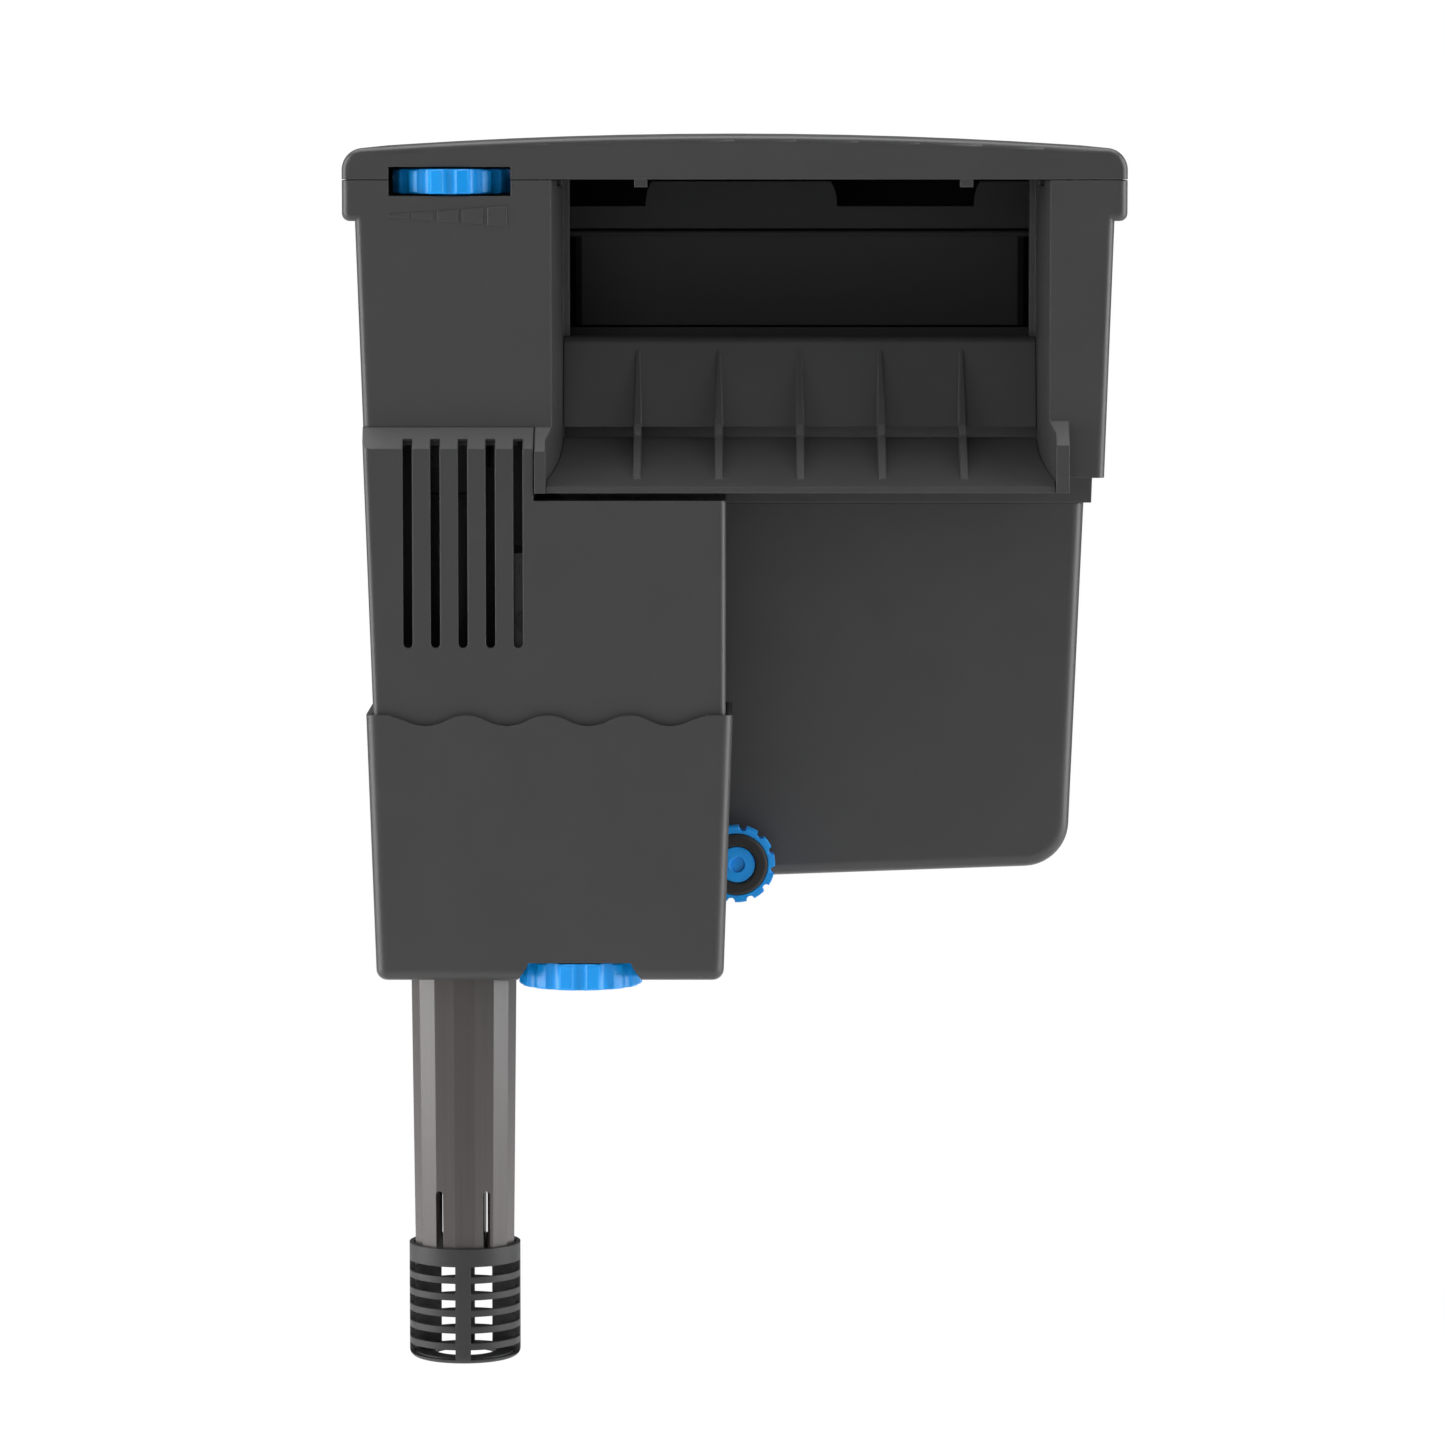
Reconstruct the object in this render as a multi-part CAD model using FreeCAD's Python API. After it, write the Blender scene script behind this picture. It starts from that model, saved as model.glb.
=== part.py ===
import FreeCAD, Part
import math
import os

# Hang-on power filter for an aquarium, in millimetres.
# +Z is up, +X to the right seen from the tank, -Y faces the tank.
# The origin lies on the underside of the bridge, where it rests on the tank rim.

# Fits between pieces
rest_gap = 0.3
running_gap = 0.05
press_gap = 0.02

# How far cutters run past a face, and a length longer than the whole filter
past = 1.0
reach = 400.0

# Glass gap between the pump column and the outer box
glass_gap = 28.0

# Case and bridge
case_half_width = 118.5
case_draft = 2.0
case_front = -54.0
case_back = 104.0
case_wall = 2.5
case_front_radius = 3.0
case_back_radius = 12.0
bridge_floor = 3.0
rim_top = 95.0
rim_height = 13.0
rim_side_step = 7.0
rim_back_step = 6.0
rim_edge_radius = 2.5

# Outer box behind the glass
box_shoulder_depth = 12.0
box_side_step = 2.35
box_draft = 2.4
box_corner_radius = 15.0
box_edge_radius = 4.0
box_depth_at_centre = 136.8
box_floor_slope = 0.0337
box_back_draft = 2.5

# Outflow opening between the two front blocks
left_block_width = 58.1
right_block_width = 15.9
cheek_flare = 4.9
cheek_flare_depth = 22.0
cheek_flare_start = 4.5
cheek_flare_bulge = 1.4
cheek_reach = 8.5
cheek_left_thickness = 3.6
cheek_right_thickness = 4.3
cheek_bottom = -4.5
cheek_right_rise = 2.0
cheek_nose_drop = 7.5
cheek_tab_rise = 3.0
throat_step = 2.0
weir_front = -24.0
weir_thickness = 2.5
weir_top = 41.8
latch_from_opening = 3.9
latch_width = 3.0
latch_height = 1.9
latch_depth = 10.0
latch_back = -38.0

# Spill tray
tray_thickness = 2.0
tray_side_gap = 0.15
tray_seat_gap = 0.1
tray_hook_gap = 0.2
tray_hook_depth = 4.0
ramp_run = 8.6
ramp_foot_z = 15.4
ramp_root_height = 6.4
ramp_crown_height = 2.6
spill_slot_height = 3.3
tray_lip_setback = 0.9
tray_lip_rise = 2.0
rib_count = 5
rib_pitch = 26.2
rib_top_width = 1.1
rib_foot_width = 2.6
rib_height = 3.0
rib_end_setback = 4.1

# Lid
lid_side_height = 10.0
lid_crown_height = 14.0
lid_corner_radius = 7.0
lid_edge_radius = 2.5
lid_wall = 2.4
lid_lip_depth = 4.0
lid_lip_gap = 0.4
lid_lip_front = -8.0
lid_web_bottom = 2.5
lid_web_thickness = 2.5
lid_clip_width = 4.2
lid_clip_drop = 2.2
lid_clip_setback = 1.2
lid_clip_left_x = -30.0
lid_clip_right_x = 74.0

# Flow control in the left block
flow_from_side = 27.5
knob_radius = 19.0
knob_proud = 1.6
knob_lobes = 14
knob_lobe_depth = 1.1
knob_lobe_share = 0.62
knob_edge = 0.5
knob_height = 7.9
knob_below_rim = 4.3
knob_boss_radius = 6.0
knob_side_gap = 0.5
knob_window_gap = 0.7
deck_thickness = 2.5
deck_gap = 2.2
stem_radius = 3.0
stem_end_gap = 0.2
valve_housing_radius = 12.5
valve_wall = 1.6
valve_port_half_angle = 40.0
valve_port_margin = 2.0

# Duct over the glass
duct_half_width = 11.0
duct_wall = 1.8
duct_floor_wall = 2.5
duct_top = 30.0
duct_above_floor = 8.8
duct_leg_depth = 18.0
duct_gap = 0.5
duct_socket_depth = 8.0

# Pump column
column_reach = 8.0
column_width = 115.7
column_wall = 2.3
column_edge_radius = 2.5
column_roof = 3.0
column_room = 10.0
column_lower_step = 2.4
column_back_skim = 0.05
column_seat_step = 0.1
column_seat_top = 0.2
shoulder_back_z = 16.3
shoulder_front_z = 9.7
skirt_below_cover = 3.5
skirt_length = 12.0
skirt_step = 1.0
skirt_wall = 1.6
skirt_shoulder_height = 4.5
slot_count = 5
slot_pitch = 8.82
slot_width = 3.0
slot_from_side = 14.0
slot_bottom = -54.0
slot_top = 12.6
slot_depth = 6.2
tongue_width = 38.0
tongue_length = 18.0
tongue_thickness = 2.0
tongue_height = 10.0
tongue_root = 6.0

# Pump cover
cover_wall = 1.8
cover_gap = 0.4
cover_back_gap = 0.2
cover_bottom = -161.15
cover_top = -75.5
cover_floor = 2.5
cover_edge_radius = 3.5
cover_side_radius = 4.0
wave_depth = 3.4
wave_period = 26.1
wave_from_side = 19.5
wave_from_right = 15.7
wave_run_out = 5.2

# Selector under the pump
selector_radius = 19.9
selector_guide_gap = 0.25
selector_proud = 2.9
selector_height = 8.5
selector_drop = 3.0
selector_dish_radius = 13.9
selector_dish_floor_radius = 11.9
selector_dish_depth = 1.5
selector_stem_radius = 3.5
selector_stem_depth = 5.0
selector_well_gap = 0.4
selector_well_wall = 1.2
selector_roof = 2.2
selector_barrel_radius = 13.5
finger_cut_foot = 20.6
finger_cut_head = 16.4
finger_cut_chamfer = 1.5

# Intake
intake_from_side = 30.5
intake_from_front = 26.0
tube_sides = 16
tube_first_side = 0.6
tube_top_radius = 17.5
tube_bottom_radius = 16.3
tube_bore = 14.5
tube_length = 106.0
tube_in_guide = 11.15
tube_travel = 35.0
tube_slit_height = 24.4
tube_slit_width = 2.4
tube_slit_angle = 28.0
guide_wall = 1.3
guide_spare = 3.0

# Suction chamber
chamber_height = 20.0
chamber_wall = 1.8
chamber_left_gap = 1.0
chamber_right_gap = 2.4
chamber_front_gap = 0.7
chamber_ring_wall = 1.5
chamber_port_margin = 1.5
chamber_port_angle = 80.0
chamber_port_width = 14.0

# Strainer
strainer_wall = 1.5
strainer_floor = 1.8
strainer_overlap = 5.7
strainer_length = 37.7
strainer_edge_radius = 2.5
strainer_rows = 6
strainer_pitch = 5.45
strainer_slot = 3.3
strainer_band = 5.7
strainer_rib_half_angle = 8.0
strainer_back_rib_angle = 131.0
strainer_back_rib_half_angle = 19.0
strainer_hole_radius = 10.0
strainer_hole_bar = 2.0

# Pump
pump_from_front = 21.0
shaft_radius = 1.5
magnet_radius = 8.0
magnet_length = 28.0
magnet_above_floor = 6.0
rotor_well_radius = 9.0
rotor_well_wall = 1.5
rotor_well_room = 7.0
motor_left_reach = 26.2
motor_right_gap = 1.9
motor_gap = 2.7
motor_height = 48.0
motor_wall = 2.0
motor_corner_radius = 5.0
collar_inset = 12.0
collar_radius = 5.0
collar_height = 6.0
volute_radius = 18.0
volute_wall = 2.2
volute_height = 19.6
volute_port_width = 14.0
volute_port_height = 12.0
volute_port_rise = 3.5
inlet_radius = 6.5
spider_arm_width = 1.8
riser_radius = 9.0
riser_bore = 7.4
riser_seat = 3.8
riser_socket_height = 6.0

# Stator in the motor
core_height = 22.0
core_above_floor = 12.0
core_side_gap = 0.6
core_pole = 6.0
core_end_gap = 5.0
core_yoke = 8.0
core_window_gap = 1.7
core_air_slot = 4.0
coil_wall = 4.0
coil_height_past = 5.0
coil_edge_radius = 2.0
coil_gap = 0.2

# Impeller and bushes
impeller_radius = 13.0
impeller_blades = 6
impeller_floor_gap = 2.6
impeller_roof_gap = 3.0
impeller_disc = 1.4
impeller_hub_radius = 4.2
blade_thickness = 1.2
blade_radius = 11.7
blade_start_angle = 20.0
blade_end_angle = 88.0
bush_radius = 2.8
bush_holder_wall = 1.1
bush_floor = 1.2
lower_bush_height = 2.8
upper_bush_height = 4.0

# Seals and motor pads
seal_thickness = 2.0
inlet_seal_gap = 0.2
inlet_seal_width = 2.5
inlet_seal_height = 0.4
motor_pad_radius = 4.0
motor_pad_inset = 10.0
motor_pad_z = -46.0

# Media basket
basket_wall = 1.8
basket_draft = 2.4
basket_side_gap = 8.1
basket_front_gap = 1.5
basket_back_gap = 4.6
basket_below_rim = 1.0
basket_above_floor = 18.8
basket_notch_clearance = 3.0
window_left_reach = 0.9
window_right_reach = 1.9
window_above_weir = 4.1
window_height = 32.5
notch_depth = 8.2
notch_width = 45.2
notch_flare = 2.8
notch_bend_height = 5.5
notch_bend_reach = 0.7
notch_left_x = -51.9
notch_right_x = 56.5
ledge_front = 45.0
ledge_back = 92.0
ledge_thickness = 2.0
ledge_seat = 2.0
grid_slots = 9
grid_pitch = 23.0
grid_slot_width = 16.0
grid_front = 42.0
grid_back = 84.0

# Flap that closes the basket's overflow window
flap_side_gap = 2.0
flap_bottom_gap = 0.6
flap_top_gap = 1.0
flap_bevel = 2.0
flap_edge = 0.4
flap_pin_radius = 1.2
flap_pin_drop = 1.7
ear_width = 2.4
ear_height = 4.4
ear_depth = 4.0

# Filter media in the basket
soft_gap = 0.3
foam_top = -58.0
bag_top = 7.0
fleece_top = 30.0

# Levelling screw
level_from_column = 3.7
level_above_floor = 5.8
level_radius = 12.6
level_notches = 12
level_first_notch = 21.0
level_notch_radius = 1.3
level_wheel_depth = 6.0
level_pad_radius = 10.1
level_pad_edge = 1.2
level_pad_seat = 2.0
level_hub_radius = 5.9
level_hub_proud = 0.5
level_dimple_radius = 2.5
level_side_gap = 0.15
level_seat_gap = 0.2
level_pad_depth = 3.0
screw_radius = 4.0
screw_seat = 3.0
screw_end_gap = 2.3
boss_wall = 3.0
boss_depth = 19.0

# Cord outlet
cord_from_side = 26.5
grommet_radius = 5.0
grommet_bore = 3.3
grommet_flange = 1.5

# Values worked out from the sizes above
case_slope = math.tan(math.radians(case_draft))
box_slope = math.tan(math.radians(box_draft))
basket_slope = math.tan(math.radians(basket_draft))
column_back = -glass_gap / 2
box_front = glass_gap / 2
band_bottom = rim_top - rim_height
band_back = case_back + band_bottom * case_slope + rim_back_step
rim_half_width = case_half_width + rim_side_step
shoulder_z = -box_shoulder_depth
box_half_width = case_half_width + shoulder_z * case_slope - box_side_step
opening_left = -case_half_width + left_block_width
opening_right = case_half_width - right_block_width
opening_middle = (opening_left + opening_right) / 2
throat_left = opening_left + cheek_flare + throat_step
throat_right = opening_right - cheek_flare - throat_step
cheek_front = case_front - cheek_reach
weir_back = weir_front + weir_thickness
ramp_head_y = weir_front - tray_thickness
ramp_foot_y = ramp_head_y - ramp_run
lip_y = cheek_front + tray_lip_setback
lip_z = cheek_bottom + tray_lip_rise
lid_bottom = rim_top + rest_gap
flow_x = -case_half_width + flow_from_side
flow_y = case_front - knob_proud + knob_radius
knob_bottom = rim_top - knob_below_rim
knob_middle = knob_bottom + knob_height / 2
knob_window_half = knob_radius + knob_side_gap
deck_top = knob_bottom - deck_gap
valve_radius = valve_housing_radius - duct_wall - rest_gap
duct_outlet = -box_depth_at_centre + duct_above_floor
duct_leg_front = box_front + case_wall + duct_gap
duct_leg_back = duct_leg_front + duct_leg_depth
duct_gate_half = duct_half_width + rest_gap
column_front = case_front - column_reach
column_right = -case_half_width + column_width
column_step_x = opening_left - cheek_left_thickness - rest_gap
column_step_top = cheek_bottom - column_lower_step
shoulder_fall = (shoulder_back_z - shoulder_front_z) / column_reach
slot_first_x = -case_half_width + slot_from_side
skirt_top = cover_top - skirt_below_cover
skirt_bottom = skirt_top - skirt_length
skirt_back_step = cover_wall + cover_gap
intake_x = -case_half_width + intake_from_side
intake_y = column_front + intake_from_front
tube_top = cover_bottom + tube_in_guide
tube_bottom = tube_top - tube_length
guide_bore = tube_top_radius + rest_gap
guide_radius = guide_bore + guide_wall
guide_top = tube_top + tube_travel + guide_spare
selector_y = column_front - selector_proud + selector_radius
selector_reach = guide_radius + selector_radius + selector_guide_gap
selector_x = intake_x + math.sqrt(selector_reach ** 2 - (selector_y - intake_y) ** 2)
selector_bottom = cover_bottom - selector_drop
selector_top = selector_bottom + selector_height
pump_x = selector_x
pump_y = column_front + pump_from_front
chamber_bottom = guide_top
chamber_top = guide_top + chamber_height
strainer_radius = tube_bottom_radius + rest_gap + strainer_wall
strainer_top = tube_bottom + strainer_overlap
strainer_bottom = strainer_top - strainer_length
volute_bottom = chamber_top + inlet_seal_height
motor_bottom = volute_bottom + volute_height
motor_top = motor_bottom + motor_height
motor_left = pump_x - motor_left_reach
motor_right = column_right - column_wall - motor_right_gap
motor_front = column_front + column_wall + motor_gap
motor_back = column_back - column_wall - motor_gap
magnet_bottom = motor_bottom + magnet_above_floor
magnet_top = magnet_bottom + magnet_length
rotor_well_top = magnet_top + rotor_well_room
rotor_sleeve = rotor_well_radius + rotor_well_wall
core_left = pump_x - rotor_sleeve - core_pole
core_right = motor_right - motor_wall - core_end_gap
core_front = motor_front + motor_wall + core_side_gap
core_back = motor_back - motor_wall - core_side_gap
core_bottom = motor_bottom + core_above_floor
core_top = core_bottom + core_height
core_window_left = core_right - core_yoke - coil_wall - core_window_gap
basket_top = rim_top - basket_below_rim
basket_bottom = -box_depth_at_centre + basket_above_floor
basket_half_width = case_half_width + basket_top * case_slope - case_wall - basket_side_gap
basket_front = box_front + case_wall + basket_front_gap
basket_back = case_back + basket_top * case_slope - case_wall - basket_back_gap
window_left = throat_left - window_left_reach
window_right = throat_right + window_right_reach
window_bottom = weir_top + window_above_weir
window_top = window_bottom + window_height
flap_pin_y = basket_front + basket_wall / 2
flap_pin_z = window_top - flap_pin_drop
level_x = column_right + level_from_column
level_z = -box_depth_at_centre + level_above_floor
level_wheel_front = level_pad_depth - level_pad_seat + level_seat_gap
level_wheel_back = level_wheel_front + level_wheel_depth
screw_end = box_front + boss_depth - case_wall - screw_end_gap
boss_radius = screw_radius + boss_wall
cord_x = -case_half_width + cord_from_side
cord_z = band_bottom + rim_height / 2


def vec(x, y, z):
    return FreeCAD.Vector(x, y, z)


def block(x0, x1, y0, y1, z0, z1):
    return Part.makeBox(x1 - x0, y1 - y0, z1 - z0, vec(x0, y0, z0))


def rod(x, y, radius, z0, z1):
    return Part.makeCylinder(radius, z1 - z0, vec(x, y, z0))


def rod_along_x(y, z, radius, x0, x1):
    return Part.makeCylinder(radius, x1 - x0, vec(x0, y, z), vec(1, 0, 0))


def rod_along_y(x, z, radius, y0, y1):
    return Part.makeCylinder(radius, y1 - y0, vec(x, y0, z), vec(0, 1, 0))


def tube(x, y, outer, bore, z0, z1):
    return rod(x, y, outer, z0, z1).cut(rod(x, y, bore, z0 - past, z1 + past))


def prism(points, way):
    wire = Part.makePolygon(points + points[:1])
    return Part.Face(wire).extrude(way)


def along_x(points, x0, x1):
    """Prism of a side outline given as (y, z) points."""
    return prism([vec(x0, y, z) for y, z in points], vec(x1 - x0, 0, 0))


def along_y(points, y0, y1):
    """Prism of a front outline given as (x, z) points."""
    return prism([vec(x, y0, z) for x, z in points], vec(0, y1 - y0, 0))


def cut_each(shape, cutters):
    for cutter in cutters:
        shape = shape.cut(cutter)
    return shape


def plan_outline(x0, x1, y0, y1, front_radius, back_radius, z):
    """Rectangle seen from above, with rounded front and back corners."""
    turn = math.sqrt(0.5)
    edges = []
    ends = []
    corners = [(x0, y0, 1, 1, front_radius), (x1, y0, -1, 1, front_radius),
               (x1, y1, -1, -1, back_radius), (x0, y1, 1, -1, back_radius)]
    for x, y, inward_x, inward_y, radius in corners:
        centre_x = x + inward_x * radius
        centre_y = y + inward_y * radius
        middle = vec(centre_x - inward_x * radius * turn, centre_y - inward_y * radius * turn, z)
        on_side = vec(x, centre_y, z)
        on_end = vec(centre_x, y, z)
        first, last = (on_side, on_end) if inward_x == inward_y else (on_end, on_side)
        ends.append((first, last))
        edges.append(Part.Arc(first, middle, last).toShape())
    for index in range(4):
        start = ends[index][1]
        finish = ends[(index + 1) % 4][0]
        edges.append(Part.LineSegment(start, finish).toShape())
    return Part.Wire(Part.__sortEdges__(edges))


def tapered(lower, upper):
    return Part.makeLoft([lower, upper], True, True)


def edges_where(shape, test):
    return [edge for edge in shape.Edges if test(edge)]


def flat_at_z(edge, z):
    return abs(edge.BoundBox.ZMin - z) < 0.01 and abs(edge.BoundBox.ZMax - z) < 0.01


def sector(x, y, inner, outer, start, finish, z0, z1):
    """Part of a ring between two angles in degrees."""
    profile = Part.makePolygon([vec(inner, 0, z0), vec(outer, 0, z0), vec(outer, 0, z1),
                                vec(inner, 0, z1), vec(inner, 0, z0)])
    piece = Part.Face(profile).revolve(vec(0, 0, 0), vec(0, 0, 1), finish - start)
    piece.rotate(vec(0, 0, 0), vec(0, 0, 1), start)
    piece.translate(vec(x, y, 0))
    return piece


def case_half(z):
    return case_half_width + z * case_slope


def box_half(z):
    return box_half_width + (z - shoulder_z) * box_slope


def basket_half(z):
    return basket_half_width - (basket_top - z) * basket_slope


def case_envelope(inset, z0, z1):
    """Drafted outer form of the case, or of the space inside it."""
    rings = []
    for z in (z0, z1):
        half = case_half(z) - inset
        back = case_back + z * case_slope - inset
        rings.append(plan_outline(-half, half, case_front + inset, back,
                                  case_front_radius, case_back_radius - inset, z))
    return tapered(rings[0], rings[1])


def box_form(inset, z_top):
    """Outer box with big lower corners, a sloped floor and a drafted back."""
    half_top = box_half(z_top) - inset
    left_floor = -box_depth_at_centre - box_half_width * box_floor_slope + inset
    right_floor = -box_depth_at_centre + box_half_width * box_floor_slope + inset
    front = along_y([(-half_top, z_top), (half_top, z_top),
                     (box_half(right_floor) - inset, right_floor),
                     (-box_half(left_floor) + inset, left_floor)],
                    box_front + inset, case_back + reach)
    drop = z_top - left_floor
    back_top = case_back + (z_top - shoulder_z) * case_slope - inset
    back_low = back_top - drop * math.tan(math.radians(box_back_draft))
    side = along_x([(box_front + inset, z_top), (back_top, z_top),
                    (back_low, left_floor - past), (box_front + inset, left_floor - past)], -reach, reach)
    form = front.common(side)
    half_depth = (back_low - box_front) / 2
    long_edges = edges_where(form, lambda e: e.BoundBox.ZMax < z_top - box_corner_radius
                             and e.BoundBox.YLength > half_depth)
    form = form.makeFillet(box_corner_radius - inset, long_edges)
    face_edges = edges_where(form, lambda e: e.BoundBox.YLength < half_depth
                             and e.BoundBox.ZMin < z_top - past)
    return form.makeFillet(box_edge_radius - inset, face_edges)


def opening_form(inset, y_back, z0, z1):
    """Plan of the outflow opening: straight cheeks that flare at the front."""
    front = cheek_front - past
    flare_start = cheek_front + cheek_flare_start
    flare_middle = flare_start + cheek_flare_depth / 2
    flare_end = flare_start + cheek_flare_depth
    left = opening_left + inset
    right = opening_right - inset
    bulge = cheek_flare / 2 + cheek_flare_bulge
    corners = [vec(left + cheek_flare, flare_end, z0), vec(left + cheek_flare, y_back, z0),
               vec(right - cheek_flare, y_back, z0), vec(right - cheek_flare, flare_end, z0)]
    mouth = [vec(right, flare_start, z0), vec(right, front, z0), vec(left, front, z0),
             vec(left, flare_start, z0)]
    edges = [Part.Arc(mouth[3], vec(left + bulge, flare_middle, z0), corners[0]).toShape(),
             Part.Arc(corners[3], vec(right - bulge, flare_middle, z0), mouth[0]).toShape()]
    for path in (corners, mouth):
        for start, finish in zip(path[:-1], path[1:]):
            edges.append(Part.LineSegment(start, finish).toShape())
    wire = Part.Wire(Part.__sortEdges__(edges))
    return Part.Face(wire).extrude(vec(0, 0, z1 - z0))


def lobed_wheel(x, y, radius, z0, z1):
    """Finger wheel: a bevelled disc with shallow round scallops cut into its rim."""
    wheel = rod(x, y, radius, z0, z1)
    wheel = wheel.makeChamfer(knob_edge, edges_where(wheel, lambda e: e.BoundBox.ZLength < 0.01))
    pitch_angle = 2 * math.pi / knob_lobes
    half_chord = radius * math.sin(pitch_angle / 2) * knob_lobe_share
    cutter_radius = (half_chord ** 2 + knob_lobe_depth ** 2) / (2 * knob_lobe_depth)
    away = radius - knob_lobe_depth + cutter_radius
    cutters = []
    for index in range(knob_lobes):
        angle = (index + 0.5) * pitch_angle
        cutters.append(rod(x + away * math.cos(angle), y + away * math.sin(angle), cutter_radius,
                           z0 - past, z1 + past))
    return wheel.cut(Part.makeCompound(cutters))


def cheek_plate(x0, x1, tab_top):
    """Cheek plate below the blocks, which carries the front of the spill tray."""
    return along_x([(column_back, cheek_bottom), (cheek_front, cheek_bottom),
                    (cheek_front, tab_top - cheek_nose_drop), (case_front, tab_top),
                    (case_front + cheek_tab_rise, tab_top + cheek_tab_rise),
                    (column_back, tab_top + cheek_tab_rise)], x0, x1)


def make_cheeks():
    """Both cheek plates, flared inside like the opening above them."""
    left = cheek_plate(opening_left - cheek_left_thickness, opening_left + cheek_flare, shoulder_back_z)
    right = cheek_plate(opening_right - cheek_flare, opening_right + cheek_right_thickness,
                        shoulder_back_z + cheek_right_rise)
    cheeks = left.fuse(right).cut(opening_form(0, weir_front, cheek_bottom - past, rim_top))
    return cheeks.cut(block(opening_left + cheek_flare, opening_right - cheek_flare,
                            weir_front - past, column_back + past, cheek_bottom - past, 0))


def make_rim_band():
    """Stepped band round the top of the case that the lid sits on."""
    outline = plan_outline(-rim_half_width, rim_half_width, case_front, band_back,
                           case_front_radius, case_back_radius, band_bottom)
    band = Part.Face(outline).extrude(vec(0, 0, rim_height))
    return band.makeFillet(rim_edge_radius, edges_where(
        band, lambda e: flat_at_z(e, band_bottom) and e.BoundBox.YMin > case_front + 0.1))


def make_filter_case():
    """Upper case: basin, rim band, bridge, two front blocks and cheeks in one moulding."""
    upper = case_envelope(0, 0, rim_top)
    shoulder = case_envelope(0, shoulder_z, past).common(
        block(-reach, reach, box_front, reach, shoulder_z - past, past))
    case = upper.multiFuse([shoulder, make_rim_band()])
    case = case.cut(opening_form(0, weir_front, -past, rim_top + past))
    case = case.cut(block(-reach, opening_left, case_front - past, column_back, -past, shoulder_back_z))
    case = case.fuse(make_cheeks())
    basin = case_envelope(case_wall, bridge_floor, rim_top + past)
    main_basin = basin.common(block(-reach, reach, column_back, reach, 0, rim_top + past))
    throat = block(throat_left, throat_right, weir_back, column_back + past, bridge_floor, rim_top + past)
    over_weir = block(opening_left + cheek_flare, opening_right - cheek_flare,
                      weir_front - past, weir_back + past / 2, weir_top, rim_top + past)
    pocket_right = opening_left - case_wall
    pocket_back = column_back - case_wall
    left_pocket = case_envelope(case_wall, shoulder_z, rim_top + past).common(
        block(-reach, pocket_right, case_front, pocket_back, shoulder_z, rim_top + past))
    left_pocket = left_pocket.cut(
        block(-reach, 0, case_front, column_back, deck_top - deck_thickness, deck_top))
    right_pocket = basin.common(block(opening_right + case_wall, reach, case_front, column_back + past,
                                      bridge_floor, rim_top + past))
    duct_gate = block(flow_x - duct_gate_half, flow_x + duct_gate_half, pocket_back - past,
                      column_back + past, bridge_floor, duct_top + rest_gap)
    stem_hole = rod(flow_x, flow_y, stem_radius + running_gap, 0, rim_top)
    window = block(flow_x - knob_window_half, flow_x + knob_window_half, case_front - past,
                   case_front + case_wall + past, knob_bottom - knob_window_gap, rim_top + past)
    cord_hole = rod_along_y(cord_x, cord_z, grommet_radius, case_back - case_back_radius, band_back + past)
    latches = [block(x - latch_width / 2, x + latch_width / 2, latch_back - latch_depth, latch_back,
                     rim_top - latch_height, rim_top + past)
               for x in (opening_left + latch_from_opening, opening_right - latch_from_opening)]
    return cut_each(case, [main_basin, throat, over_weir, left_pocket, right_pocket,
                           box_form(case_wall, bridge_floor + past), duct_gate, stem_hole, window,
                           cord_hole] + latches)


def make_outer_box():
    """Box behind the glass, welded under the shoulder, with a boss for the levelling screw."""
    boss = rod_along_y(level_x, level_z, boss_radius, box_front + case_wall / 2, box_front + boss_depth)
    room = box_form(case_wall, shoulder_z + past).cut(boss)
    screw_hole = rod_along_y(level_x, level_z, screw_radius + running_gap, box_front - past,
                             box_front + boss_depth - case_wall)
    return cut_each(box_form(0, shoulder_z), [room, screw_hole])


def tray_rib(middle, outline, head_z, foot_z):
    """One rib of the spill tray, thin at the weir and wider where it meets the tray."""
    rib = along_x(outline, middle - rib_foot_width / 2, middle + rib_foot_width / 2)
    wedge = along_y([(middle - rib_top_width / 2, head_z), (middle + rib_top_width / 2, head_z),
                     (middle + rib_foot_width / 2, foot_z), (middle + rib_foot_width / 2, -reach),
                     (middle - rib_foot_width / 2, -reach), (middle - rib_foot_width / 2, foot_z)],
                    cheek_front, weir_back)
    return rib.common(wedge)


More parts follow.
